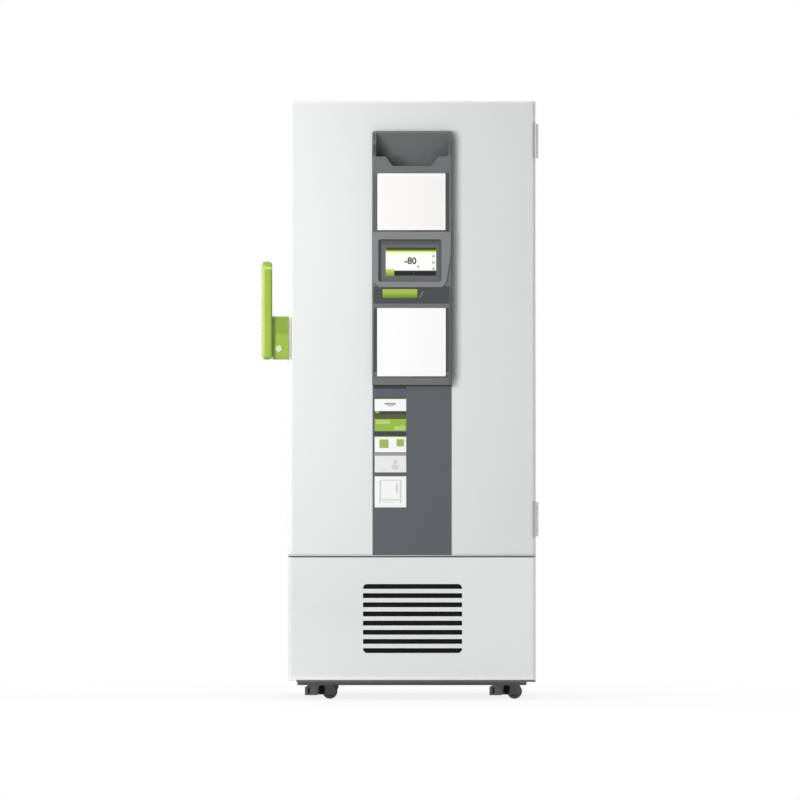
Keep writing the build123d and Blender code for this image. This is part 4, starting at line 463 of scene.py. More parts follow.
@dataclass(frozen=True)
class Finish:
    """A solid surface: its colours, its gloss and its grain at real size."""

    name: str
    colour: Rgb
    shade: Rgb
    grain: Grain
    size: float
    depth: float
    roughness: float
    spread: float = 0.08
    metallic: float = 0.0
    specular: float = 0.5
    coat: float = 0.0
    coat_roughness: float = 0.12
    patch: float = 0.35
    amount: float = 0.35
    dust: float = 0.0
    dust_colour: Rgb = (150, 145, 136)
    turn: tuple[float, float, float] = (0.0, 0.0, 0.0)
    smear: float = 0.16
    zones: tuple[Zone, ...] = ()

    def material(self, effects: Effects) -> bpy.types.Material:
        """Build this finish's material.

        Args:
            effects: The shared node groups.

        Returns:
            The new material.
        """
        made = bpy.data.materials.new(self.name)
        made.use_nodes = True
        tree = made.node_tree
        tree.nodes.clear()
        put, join = tree.nodes.new, tree.links.new
        out = put("ShaderNodeOutputMaterial")
        shader = put("ShaderNodeBsdfPrincipled")
        join(shader.outputs["BSDF"], out.inputs["Surface"])
        shader.inputs["Metallic"].default_value = self.metallic
        shader.inputs["Specular IOR Level"].default_value = self.specular
        shader.inputs["Coat Weight"].default_value = self.coat
        shader.inputs["Coat Roughness"].default_value = self.coat_roughness
        place = put("ShaderNodeTexCoord")
        turn = put("ShaderNodeMapping")
        turn.inputs["Rotation"].default_value = self.turn
        join(place.outputs["Object"], turn.inputs["Vector"])
        tone = self._group(tree, effects.tone, place.outputs["Object"])
        tone.inputs["Colour"].default_value = linear(self.colour)
        tone.inputs["Shade"].default_value = linear(self.shade)
        tone.inputs["Patch Size"].default_value = self.patch
        tone.inputs["Amount"].default_value = self.amount
        relief = self._group(tree, effects.relief[self.grain], turn.outputs["Vector"])
        relief.inputs["Size"].default_value = self.size
        colour = self._zoned(tree, effects, tone.outputs["Colour"], place.outputs["Object"])
        colour = self._grained(tree, colour, relief.outputs["Mask"])
        if self.dust > 0:
            dust = self._group(tree, effects.dust, place.outputs["Object"])
            dust.inputs["Dust"].default_value = linear(self.dust_colour)
            dust.inputs["Amount"].default_value = self.dust
            join(colour, dust.inputs["Colour"])
            colour = dust.outputs["Colour"]
        join(colour, shader.inputs["Base Color"])
        smears = self._group(tree, effects.smears, place.outputs["Object"])
        smears.inputs["Size"].default_value = self.smear
        rough = put("ShaderNodeMapRange")
        rough.inputs["To Min"].default_value = max(0.02, self.roughness - self.spread)
        rough.inputs["To Max"].default_value = min(1.0, self.roughness + self.spread)
        blend = put("ShaderNodeMath")
        blend.operation = "MULTIPLY_ADD"
        blend.inputs[1].default_value = 0.5
        halved = put("ShaderNodeMath")
        halved.operation = "MULTIPLY"
        halved.inputs[1].default_value = 0.5
        join(relief.outputs["Mask"], halved.inputs[0])
        join(smears.outputs["Mask"], blend.inputs[0])
        join(halved.outputs[0], blend.inputs[2])
        join(blend.outputs[0], rough.inputs["Value"])
        join(rough.outputs["Result"], shader.inputs["Roughness"])
        bump = put("ShaderNodeBump")
        bump.inputs["Strength"].default_value = 1.0
        bump.inputs["Distance"].default_value = self.depth
        join(relief.outputs["Height"], bump.inputs["Height"])
        join(bump.outputs["Normal"], shader.inputs["Normal"])
        return made

    def _zoned(self, tree: bpy.types.NodeTree, effects: Effects, colour: bpy.types.NodeSocket,
               vector: bpy.types.NodeSocket) -> bpy.types.NodeSocket:
        """Lay each zone's tone over the colour.

        Args:
            tree: The material's node tree.
            effects: The shared node groups.
            colour: The colour so far.
            vector: Object coordinates.

        Returns:
            The colour with its zones.
        """
        for zone in self.zones:
            inside = self._group(tree, effects.zone, vector)
            inside.inputs["Low"].default_value = zone.low
            inside.inputs["High"].default_value = zone.high
            inside.inputs["Edge"].default_value = zone.edge
            weight = tree.nodes.new("ShaderNodeMath")
            weight.operation = "MULTIPLY"
            weight.inputs[1].default_value = zone.share
            mix = tree.nodes.new("ShaderNodeMix")
            mix.data_type = "RGBA"
            mix.inputs[7].default_value = linear(zone.colour)
            tree.links.new(inside.outputs["Mask"], weight.inputs[0])
            tree.links.new(weight.outputs[0], mix.inputs["Factor"])
            tree.links.new(colour, mix.inputs[6])
            colour = mix.outputs[2]
        return colour

    def _grained(self, tree: bpy.types.NodeTree, colour: bpy.types.NodeSocket,
                 mask: bpy.types.NodeSocket) -> bpy.types.NodeSocket:
        """Let the grain darken the colour a little, as pits and lines do.

        Args:
            tree: The material's node tree.
            colour: The colour so far.
            mask: The grain's mask.

        Returns:
            The colour with its grain.
        """
        mix = tree.nodes.new("ShaderNodeMix")
        mix.data_type = "RGBA"
        fade = tree.nodes.new("ShaderNodeMath")
        fade.operation = "MULTIPLY"
        fade.inputs[1].default_value = self.amount * 0.35
        tree.links.new(mask, fade.inputs[0])
        tree.links.new(fade.outputs[0], mix.inputs["Factor"])
        tree.links.new(colour, mix.inputs[6])
        mix.inputs[7].default_value = linear(self.shade)
        return mix.outputs[2]

    @staticmethod
    def _group(tree: bpy.types.NodeTree, group: bpy.types.NodeTree,
               vector: bpy.types.NodeSocket) -> bpy.types.Node:
        """Place a shared group and give it its vector."""
        node = tree.nodes.new("ShaderNodeGroup")
        node.node_tree = group
        tree.links.new(vector, node.inputs["Vector"])
        return node


@dataclass(frozen=True)
class Glow:
    """A lit face whose colour runs from its bottom to its top."""

    name: str
    stops: tuple[tuple[float, Rgb], ...]
    bottom: float
    top: float
    strength: float = 1.0
    base: Rgb = (20, 20, 20)
    roughness: float = 0.25

    def material(self, effects: Effects) -> bpy.types.Material:
        """Build this glow's material.

        Args:
            effects: The shared node groups.

        Returns:
            The new material.
        """
        made = bpy.data.materials.new(self.name)
        made.use_nodes = True
        tree = made.node_tree
        tree.nodes.clear()
        put, join = tree.nodes.new, tree.links.new
        out = put("ShaderNodeOutputMaterial")
        shader = put("ShaderNodeBsdfPrincipled")
        join(shader.outputs["BSDF"], out.inputs["Surface"])
        shader.inputs["Base Color"].default_value = linear(self.base)
        shader.inputs["Specular IOR Level"].default_value = 0.15
        shader.inputs["Emission Strength"].default_value = self.strength
        place = put("ShaderNodeTexCoord")
        split = put("ShaderNodeSeparateXYZ")
        join(place.outputs["Object"], split.inputs["Vector"])
        share = put("ShaderNodeMapRange")
        share.inputs["From Min"].default_value = self.bottom
        share.inputs["From Max"].default_value = self.top
        join(split.outputs["Z"], share.inputs["Value"])
        ramp = put("ShaderNodeValToRGB")
        stops = ramp.color_ramp.elements
        while len(stops) > 1:
            stops.remove(stops[-1])
        for number, (at, colour) in enumerate(self.stops):
            stop = stops[0] if number == 0 else stops.new(at)
            stop.position = at
            stop.color = linear(colour)
        join(share.outputs["Result"], ramp.inputs["Fac"])
        join(ramp.outputs["Color"], shader.inputs["Emission Color"])
        relief = put("ShaderNodeGroup")
        relief.node_tree = effects.relief[Grain.POLISHED]
        relief.inputs["Size"].default_value = 0.02
        join(place.outputs["Object"], relief.inputs["Vector"])
        rough = put("ShaderNodeMapRange")
        rough.inputs["To Min"].default_value = self.roughness
        rough.inputs["To Max"].default_value = self.roughness + 0.12
        join(relief.outputs["Mask"], rough.inputs["Value"])
        join(rough.outputs["Result"], shader.inputs["Roughness"])
        return made


class Paints:
    """Every solid finish that the freezer has."""

    WHITE_COAT = Finish("white_coat", (229, 230, 230), (221, 222, 222), Grain.PEEL, 0.0022, 0.00003, 0.34,
                        amount=0.35, patch=0.6, dust=0.25, coat=0.12, coat_roughness=0.3)
    SERVICE_COAT = Finish("service_coat", (228, 229, 229), (220, 221, 221), Grain.PEEL, 0.0022, 0.00003, 0.38,
                          amount=0.35, patch=0.5, dust=0.25, coat=0.08, coat_roughness=0.3)
    DARK_COAT = Finish("dark_coat", (102, 103, 105), (88, 89, 91), Grain.PEEL, 0.0016, 0.00005, 0.45,
                       amount=0.5, dust=0.4)
    ZINC = Finish("zinc_sheet", (172, 176, 178), (140, 145, 149), Grain.BLASTED, 0.0009, 0.00002, 0.38,
                  metallic=0.9, amount=0.6, patch=0.1, dust=0.2)
    LINER_STEEL = Finish("liner_steel", (188, 190, 192), (160, 163, 166), Grain.BRUSHED, 0.0006, 0.00002, 0.3,
                         metallic=1.0, amount=0.35, turn=(0.0, math.pi / 2, 0.0))
    SHELF_STEEL = Finish("shelf_steel", (186, 188, 190), (158, 161, 164), Grain.BRUSHED, 0.0006, 0.00002, 0.28,
                         metallic=1.0, amount=0.35)
    HINGE_STEEL = Finish("hinge_steel", (166, 168, 170), (138, 140, 143), Grain.BRUSHED, 0.0004, 0.00002, 0.36,
                         metallic=0.6, amount=0.4, turn=(0.0, math.pi / 2, 0.0))
    WALL_FOAM = Finish("wall_foam", (226, 208, 150), (196, 174, 116), Grain.CELLS, 0.0014, 0.0003, 0.95,
                       amount=0.6, patch=0.15)
    WHITE_MOULDING = Finish("white_moulding", (231, 232, 233), (216, 218, 220), Grain.MOULDED, 0.0009, 0.00003,
                            0.42, amount=0.35, dust=0.1)
    SEAL = Finish("seal", (142, 144, 147), (120, 122, 125), Grain.MOULDED, 0.0012, 0.00003, 0.6, amount=0.4)
    SILL_SEAL = Finish("sill_seal_grey", (212, 213, 214), (202, 203, 204), Grain.MOULDED, 0.0012, 0.00003, 0.6,
                       amount=0.4)
    COLUMN_GREY = Finish("column_grey", (108, 109, 110), (92, 93, 94), Grain.MOULDED, 0.0008, 0.00005, 0.42,
                         amount=0.35, dust=0.25, patch=0.25)
    STRIP_GREY = Finish("strip_grey", (86, 90, 93), (79, 83, 86), Grain.MOULDED, 0.0006, 0.00002, 0.4,
                        amount=0.3, patch=0.25)
    BEZEL_GREY = Finish("bezel_grey", (131, 132, 133), (116, 117, 118), Grain.MOULDED, 0.0006, 0.00003, 0.36,
                        amount=0.3, dust=0.15)
    CARD = Finish("card", (255, 255, 255), (252, 252, 252), Grain.FIBRE, 0.0009, 0.000005, 0.16, amount=0.3,
                  spread=0.04, coat=0.9, coat_roughness=0.03, specular=0.9)
    CARD_FIELD = Finish("card_field", (251, 250, 248), (245, 244, 241), Grain.FIBRE, 0.0009, 0.000005, 0.2,
                        amount=0.3, spread=0.04, coat=0.7, coat_roughness=0.05, specular=0.8)
    SCREEN_GLASS = Finish("screen_glass", (96, 98, 95), (80, 82, 80), Grain.POLISHED, 0.03, 0.00001, 0.12,
                          spread=0.06, amount=0.3, coat=0.6, coat_roughness=0.04)
    LATCH_GREEN = Finish("latch_green", (152, 181, 52), (138, 165, 42), Grain.POLISHED, 0.012, 0.00002, 0.3,
                         amount=0.5, coat=0.35, coat_roughness=0.18, dust=0.1, patch=0.12)
    LATCH_SHADE = Finish("latch_shade", (135, 160, 46), (118, 142, 36), Grain.MOULDED, 0.0007, 0.00003, 0.42,
                         amount=0.4, patch=0.12)
    KEY_METAL = Finish("key_metal", (222, 232, 200), (200, 212, 176), Grain.POLISHED, 0.01, 0.00001, 0.3,
                       spread=0.05, metallic=0.75, amount=0.3)
    LOCK_RING = Finish("lock_ring_green", (178, 200, 106), (160, 184, 86), Grain.POLISHED, 0.01, 0.00001, 0.3,
                       spread=0.05, metallic=0.3, amount=0.3)
    HINGE_COAT = Finish("hinge_coat", (244, 245, 245), (236, 237, 238), Grain.PEEL, 0.0016, 0.00003, 0.36,
                        amount=0.4, dust=0.15)
    # Painted light: the pale yellowish strip laid over the housing's shadow in the groove.
    LATCH_GROOVE_FILL = Finish("latch_groove_fill", (252, 253, 232), (246, 248, 222), Grain.MOULDED, 0.0008, 0.00003, 0.5,
                          amount=0.3)
    COPPER = Finish("copper", (198, 120, 82), (150, 78, 50), Grain.POLISHED, 0.01, 0.00004, 0.32, metallic=1.0,
                    amount=0.8, patch=0.05)
    FIN_ALUMINIUM = Finish("fin_aluminium", (192, 195, 198), (160, 164, 168), Grain.BRUSHED, 0.0004, 0.00001,
                           0.35, metallic=0.9, amount=0.4, turn=(0.0, math.pi / 2, 0.0), dust=0.2)
    BLACK_MOULDING = Finish("black_moulding", (44, 45, 47), (32, 33, 35), Grain.MOULDED, 0.0008, 0.00005, 0.5,
                            amount=0.5, dust=0.35)
    COMPRESSOR_ENAMEL = Finish("compressor_enamel", (34, 35, 37), (22, 23, 25), Grain.PEEL, 0.003, 0.00008, 0.28,
                               amount=0.5, coat=0.3, dust=0.5)
    FILTER_FLEECE = Finish("filter_fleece", (26, 27, 28), (16, 17, 18), Grain.FIBRE, 0.0012, 0.0004, 0.95,
                           specular=0.15, amount=0.6, patch=0.05)
    # Painted shadow: matt black for the plates in the caster forks' gaps.
    FORK_SHADOW_BLACK = Finish("fork_shadow_black", (34, 35, 35), (26, 27, 27), Grain.FIBRE, 0.0008, 0.00005, 0.9, specular=0.08,
                         amount=0.4)
    PEDAL_GREY = Finish("pedal_grey", (142, 143, 144), (124, 125, 126), Grain.MOULDED, 0.0008, 0.00005, 0.5, amount=0.5,
                        dust=0.3)
    CASTER_STEEL = Finish("caster_steel", (116, 117, 119), (98, 99, 101), Grain.PEEL, 0.0014, 0.00005, 0.42,
                          amount=0.5, dust=0.3)
    WHEEL_TREAD = Finish("wheel_tread", (108, 109, 111), (90, 91, 93), Grain.MOULDED, 0.0008, 0.00006, 0.58,
                         amount=0.6, patch=0.02, dust=0.3)
    SCREW_STEEL = Finish("screw_steel", (176, 178, 180), (128, 130, 132), Grain.BRUSHED, 0.0003, 0.00001, 0.3,
                         metallic=1.0, amount=0.5, patch=0.01)
    INK_BLACK = Finish("ink_black", (50, 51, 53), (42, 43, 45), Grain.FIBRE, 0.0006, 0.00001, 0.4, amount=0.3)
    INK_SLATE = Finish("ink_slate", (84, 88, 96), (76, 80, 88), Grain.FIBRE, 0.0006, 0.00001, 0.4, amount=0.3)
    INK_OLIVE = Finish("ink_olive", (72, 82, 36), (62, 72, 30), Grain.FIBRE, 0.0006, 0.00001, 0.4, amount=0.3)
    INK_LIME = Finish("ink_lime", (150, 186, 58), (138, 174, 46), Grain.FIBRE, 0.0006, 0.00001, 0.4, amount=0.4)
    INK_PALE_LIME = Finish("ink_pale_lime", (186, 208, 122), (172, 196, 104), Grain.FIBRE, 0.0006, 0.00001, 0.4,
                           amount=0.4)
    INK_MOSS = Finish("ink_moss", (164, 182, 88), (154, 172, 78), Grain.FIBRE, 0.0006, 0.00001, 0.4, amount=0.4)
    INK_GREY = Finish("ink_grey", (152, 154, 158), (142, 144, 148), Grain.FIBRE, 0.0006, 0.00001, 0.4, amount=0.3)
    INK_FAINT = Finish("ink_faint", (214, 214, 212), (204, 205, 203), Grain.FIBRE, 0.0006, 0.00001, 0.5,
                       amount=0.4)
    PAPER_WHITE = Finish("paper_white", (250, 250, 250), (242, 243, 243), Grain.FIBRE, 0.0008, 0.00001, 0.4,
                         amount=0.3)
    PAPER_PALE = Finish("paper_pale", (237, 237, 236), (229, 229, 228), Grain.FIBRE, 0.0008, 0.00001, 0.4,
                        amount=0.3)


class Paintshop:
    """Builds each finish once and dresses pieces with it."""

    def __init__(self) -> None:
        """Draw up the shared effects."""
        self.effects = Effects()
        self.done: dict[str, bpy.types.Material] = {}

    def material(self, finish: Finish | Glow) -> bpy.types.Material:
        """Return a finish's material, built at its first use."""
        if finish.name not in self.done:
            self.done[finish.name] = finish.material(self.effects)
        return self.done[finish.name]

    def dress(self, piece: bpy.types.Object, finish: Finish | Glow, slot: str | None = None) -> bpy.types.Object:
        """Give a whole piece one finish.

        Args:
            piece: The piece or CAD node.
            finish: Its finish.
            slot: Not used.

        Returns:
            The same piece.
        """
        piece.data.materials.clear()
        piece.data.materials.append(self.material(finish))
        return piece


# Modelling steps


class Bench:
    """Modelling steps shared by the sub-assemblies, each on one piece at a time."""

    @staticmethod
    def clear() -> None:
        """Leave edit mode and deselect everything."""
        if bpy.context.object and bpy.context.object.mode != "OBJECT":
            bpy.ops.object.mode_set(mode="OBJECT")
        bpy.ops.object.select_all(action="DESELECT")

    @classmethod
    def take(cls, piece: bpy.types.Object) -> None:
        """Select one piece alone and make it active."""
        cls.clear()
        piece.select_set(True)
        bpy.context.view_layer.objects.active = piece

    @classmethod
    def settle(cls, piece: bpy.types.Object) -> bpy.types.Object:
        """Put a piece's place, turn and scale into its mesh."""
        cls.take(piece)
        bpy.ops.object.transform_apply(location=True, rotation=True, scale=True)
        return piece

    @classmethod
    def block(cls, name: str, low: Vector, high: Vector) -> bpy.types.Object:
        """Start a piece from a block between two corners."""
        cls.clear()
        bpy.ops.mesh.primitive_cube_add(size=1, location=(low + high) / 2, scale=high - low)
        piece = bpy.context.object
        piece.name = name
        return cls.settle(piece)

    @classmethod
    def turned(cls, name: str, centre: Vector, radius: float, depth: float, axis: Axis,
               sides: int = 32) -> bpy.types.Object:
        """Start a piece from a round bar along an axis."""
        cls.clear()
        turn = {Axis.X: (0, math.pi / 2, 0), Axis.Y: (math.pi / 2, 0, 0), Axis.Z: (0, 0, 0)}[axis]
        bpy.ops.mesh.primitive_cylinder_add(vertices=sides, radius=radius, depth=depth, location=centre,
                                            rotation=turn)
        piece = bpy.context.object
        piece.name = name
        return cls.settle(piece)

    @classmethod
    def pick(cls, piece: bpy.types.Object, kind: str, wanted: Callable[[object], bool]) -> int:
        """Enter edit mode with only the wanted faces or edges selected.

        Args:
            piece: The piece to edit.
            kind: FACE or EDGE.
            wanted: Test of one bmesh face or edge.

        Returns:
            How many were selected.
        """
        cls.take(piece)
        bpy.ops.object.mode_set(mode="EDIT")
        bpy.ops.mesh.select_mode(type=kind)
        bpy.ops.mesh.select_all(action="DESELECT")
        mesh = bmesh.from_edit_mesh(piece.data)
        elements = mesh.faces if kind == "FACE" else mesh.edges
        found = [element for element in elements if wanted(element)]
        for element in found:
            element.select_set(True)
        mesh.select_flush_mode()
        bmesh.update_edit_mesh(piece.data)
        return len(found)

    @classmethod
    def round_corners(cls, piece: bpy.types.Object, axis: Axis, radius: float,
                      segments: int = 5) -> bpy.types.Object:
        """Round the edges that run along an axis."""
        along = axis.vector
        cls.pick(piece, "EDGE", lambda edge: abs((edge.verts[0].co - edge.verts[1].co).normalized().dot(along)) > 0.99)
        bpy.ops.mesh.bevel(offset=radius, segments=segments, affect="EDGES", clamp_overlap=True)
        bpy.ops.object.mode_set(mode="OBJECT")
        return piece

    @classmethod
    def soften(cls, piece: bpy.types.Object, width: float, segments: int = 2,
               angle: float = 30.0) -> bpy.types.Object:
        """Bevel the sharp edges and shade the piece smooth."""
        cls.take(piece)
        bevel = piece.modifiers.new("edge", "BEVEL")
        bevel.width = width
        bevel.segments = segments
        bevel.limit_method = "ANGLE"
        bevel.angle_limit = math.radians(angle)
        bevel.harden_normals = False
        bpy.ops.object.modifier_apply(modifier=bevel.name)
        bpy.ops.object.shade_smooth_by_angle(angle=math.radians(40))
        return piece

    @classmethod
    def facing(cls, piece: bpy.types.Object, direction: Vector, share: float = 0.95) -> int:
        """Enter edit mode with the faces that look one way selected."""
        return cls.pick(piece, "FACE", lambda face: face.normal.dot(direction) > share)

    @classmethod
    def copied(cls, piece: bpy.types.Object, name: str, move: Vector) -> bpy.types.Object:
        """Copy a piece with its own mesh, moved."""
        twin = piece.copy()
        twin.data = piece.data.copy()
        twin.data.transform(Matrix.Translation(move))
        twin.name = name
        bpy.context.scene.collection.objects.link(twin)
        return twin

    @classmethod
    def joined(cls, pieces: Sequence[bpy.types.Object], name: str) -> bpy.types.Object:
        """Join several meshes into one piece."""
        cls.clear()
        for piece in pieces:
            piece.select_set(True)
        bpy.context.view_layer.objects.active = pieces[0]
        bpy.ops.object.join()
        whole = bpy.context.object
        whole.name = name
        return whole

    @classmethod
    def plate(cls, name: str, low: Vector, high: Vector, corner: float, axis: Axis,
              edge: float) -> bpy.types.Object:
        """A flat plate with rounded corners and a small edge round."""
        piece = cls.block(name, low, high)
        if corner > 0:
            cls.round_corners(piece, axis, corner)
        return cls.soften(piece, edge, 1)

    @classmethod
    def screw(cls, name: str, seat: Vector, out: Vector, radius: float, proud: float) -> bpy.types.Object:
        """A button head screw with a round socket.

        Args:
            name: Name of the piece.
            seat: Point where the screw's axis meets the surface.
            out: Unit direction away from the surface.
            radius: Radius of the head.
            proud: Height of the head.

        Returns:
            The new piece.
        """
        axis = max(Axis, key=lambda one: abs(one.vector.dot(out)))
        piece = cls.turned(name, seat + out * (proud / 2 - 0.0004), radius, proud + 0.0008, axis, 18)
        cls.facing(piece, out)
        bpy.ops.mesh.inset(thickness=radius * 0.28, depth=proud * 0.45)
        bpy.ops.mesh.inset(thickness=radius * 0.3, depth=0.0)
        bpy.ops.mesh.inset(thickness=radius * 0.03, depth=-proud * 0.7)
        bpy.ops.object.mode_set(mode="OBJECT")
        bpy.ops.object.shade_smooth_by_angle(angle=math.radians(35))
        return piece


@dataclass
class Kit:
    """What every sub-assembly works with: the paint shop and a list of the pieces made."""

    shop: Paintshop
    made: list[str] = field(default_factory=list)

    def fit(self, piece: bpy.types.Object, body: str, finish: Finish | Glow,
            slot: str | None = None) -> bpy.types.Object:
        """Dress a new piece, ride it on its body and report it."""
        self.shop.dress(piece, finish, slot)
        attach(piece, body)
        self.made.append(piece.name)
        LOG.info("piece %s on %s: %d faces", piece.name, body, len(piece.data.polygons))
        return piece

    def nodes(self, nodes: dict[str, bpy.types.Object], finish: Finish | Glow, *names: str) -> None:
        """Dress CAD nodes with one finish."""
        for name in names:
            self.shop.dress(nodes[name], finish)
            LOG.info("node %s: %s", name, finish.name)


# Sub-assemblies


@dataclass
class Cabinet:
    """Outer sheets, hinges, rear fittings and strike."""

    screw_radius: float = 0.0042
    screw_proud: float = 0.0016
    rear_inset: float = 0.011
    rear_rows: int = 7
    seal_inset: float = 0.004
    seal_back: float = 0.0004
    seal_play: float = 0.0002

    def build(self, kit: Kit, nodes: dict[str, bpy.types.Object]) -> None:
        """Dress the cabinet's nodes and add its screws.

        Args:
            kit: The shared paint shop and list.
            nodes: The frame's nodes by name.
        """
        kit.nodes(nodes, Paints.WHITE_COAT, "side_panels", "top_panel", "rear_panel", "rear_machine_cover",
                  "front_cheeks")
        kit.nodes(nodes, Paints.ZINC, "machine_deck", "electrical_box")
        kit.nodes(nodes, Paints.WALL_FOAM, "cabinet_insulation", "heat_exchanger_box")
        kit.nodes(nodes, Paints.WHITE_MOULDING, "front_frame")
        kit.nodes(nodes, Paints.BLACK_MOULDING, "power_inlet", "rear_spacers")
        kit.nodes(nodes, Paints.HINGE_STEEL, "latch_strike")
        kit.nodes(nodes, Paints.HINGE_COAT, "cabinet_hinge_leaves")
        self._sill_seal(kit)
        self._rear_screws(kit)
        self._hinge_screws(kit)

    def _sill_seal(self, kit: Kit) -> None:
        """Pale seal strip between the main door and the service door, carried by the cheeks."""
        cheeks, lower, upper = Box.of("front_cheeks"), Box.of("service_door_panel"), Box.of("door_outer_skin")
        low = Vector((cheeks.low.x + self.seal_inset, lower.low.y + self.seal_back, lower.high.z + self.seal_play))
        high = Vector((cheeks.high.x - self.seal_inset, cheeks.low.y + 0.004, upper.low.z - self.seal_play))
        strip = Bench.block("sill_seal", low, high)
        Bench.facing(strip, Vector((0, -1, 0)))
        bpy.ops.mesh.inset(thickness=0.0005, depth=0.0003)
        bpy.ops.object.mode_set(mode="OBJECT")
        Bench.soften(strip, 0.0003)
        kit.fit(strip, "cabinet", Paints.SILL_SEAL, "seal")

    def _rear_screws(self, kit: Kit) -> None:
        """Screws down both sides of the rear sheet and its machine cover."""
        sheet, cover = Box.of("rear_panel"), Box.of("rear_machine_cover")
        out = Vector((0, 1, 0))
        y = cover.high.y
        master = Bench.screw("rear_screw_master", Vector((0, y, 0)), out, self.screw_radius, self.screw_proud)
        heads = []
        for low, high, rows in ((cover.low.z, cover.high.z, 3), (sheet.low.z, sheet.high.z, self.rear_rows)):
            for row in range(rows):
                z = low + 0.03 + (high - low - 0.06) * row / (rows - 1)
                for x in (sheet.low.x + self.rear_inset, sheet.high.x - self.rear_inset):
                    heads.append(Bench.copied(master, "rear_screw", Vector((x, 0, z))))
        bpy.data.objects.remove(master)
        kit.fit(Bench.joined(heads, "rear_screws"), "cabinet", Paints.SCREW_STEEL, "hinge_steel")

    def _hinge_screws(self, kit: Kit) -> None:
        """Two screws in each hinge leaf, on the door and on the cabinet."""
        for node, body in (("door_hinge_leaves", "door"), ("cabinet_hinge_leaves", "cabinet")):
            leaves = Box.of(node)
            whole = piece_heights(node)
            middle = leaves.low.y + (0.016 if body == "door" else leaves.size.y - 0.016)
            face = Box.of("side_panels").high.x + 0.0035
            heads = []
            for low, high in whole:
                for z in (low + 0.02, high - 0.02):
                    heads.append(Bench.screw("hinge_screw", Vector((face, middle, z)), Vector((1, 0, 0)),
                                             0.0048, 0.0012))
            kit.fit(Bench.joined(heads, body + "_hinge_screws"), body, Paints.SCREW_STEEL, "hinge_steel")


def piece_heights(node: str) -> list[tuple[float, float]]:
    """Heights of a node's separate pieces, from the lowest to the highest.

    Args:
        node: Name of a CAD node whose pieces stand clear of each other.

    Returns:
        The bottom and top of each piece.
    """
    heights = sorted(vertex.co.z for vertex in bpy.data.objects[node].data.vertices)
    runs, start = [], heights[0]
    for before, after in zip(heights, heights[1:]):
        if after - before > 0.2:
            runs.append((start, before))
            start = after
    runs.append((start, heights[-1]))
    return runs


@dataclass
class ColdBox:
    """Liner, shelves and the two inner doors with their pulls."""

    pull_width: float = 0.09
    pull_height: float = 0.018
    pull_depth: float = 0.010
    pull_wall: float = 0.003

    def build(self, kit: Kit, nodes: dict[str, bpy.types.Object]) -> None:
        """Dress the cold box and add the inner doors' pulls."""
        kit.nodes(nodes, Paints.LINER_STEEL, "inner_liner", "shelf_rails")
        kit.nodes(nodes, Paints.SHELF_STEEL, "shelves")
        kit.nodes(nodes, Paints.WHITE_MOULDING, "inner_door_upper", "inner_door_lower")
        kit.nodes(nodes, Paints.SEAL, "inner_gasket_upper", "inner_gasket_lower")
        kit.nodes(nodes, Paints.BLACK_MOULDING, "inner_latch_upper", "inner_latch_lower")
        for name in ("upper", "lower"):
            self._pull(kit, name)

    def _pull(self, kit: Kit, name: str) -> None:
        """A cupped pull on the sunk field of one inner door."""
        door = Box.of("inner_door_" + name)
        face = door.low.y + 0.005
        left = door.low.x + 0.052
        low = Vector((left, face - self.pull_depth + 0.006, door.centre.z + 0.03))
        high = Vector((left + self.pull_height, face, door.centre.z + 0.03 + self.pull_width))
        cup = Bench.block("inner_pull_" + name, low, high)
        Bench.round_corners(cup, Axis.Y, self.pull_height * 0.3)
        Bench.facing(cup, Vector((0, -1, 0)))
        bpy.ops.mesh.inset(thickness=self.pull_wall, depth=0.0)
        bpy.ops.mesh.inset(thickness=0.0005, depth=-self.pull_depth * 0.3)
        bpy.ops.object.mode_set(mode="OBJECT")
        Bench.soften(cup, 0.0006)
        kit.fit(cup, name + "_inner_door", Paints.WHITE_MOULDING, "white_plastic")


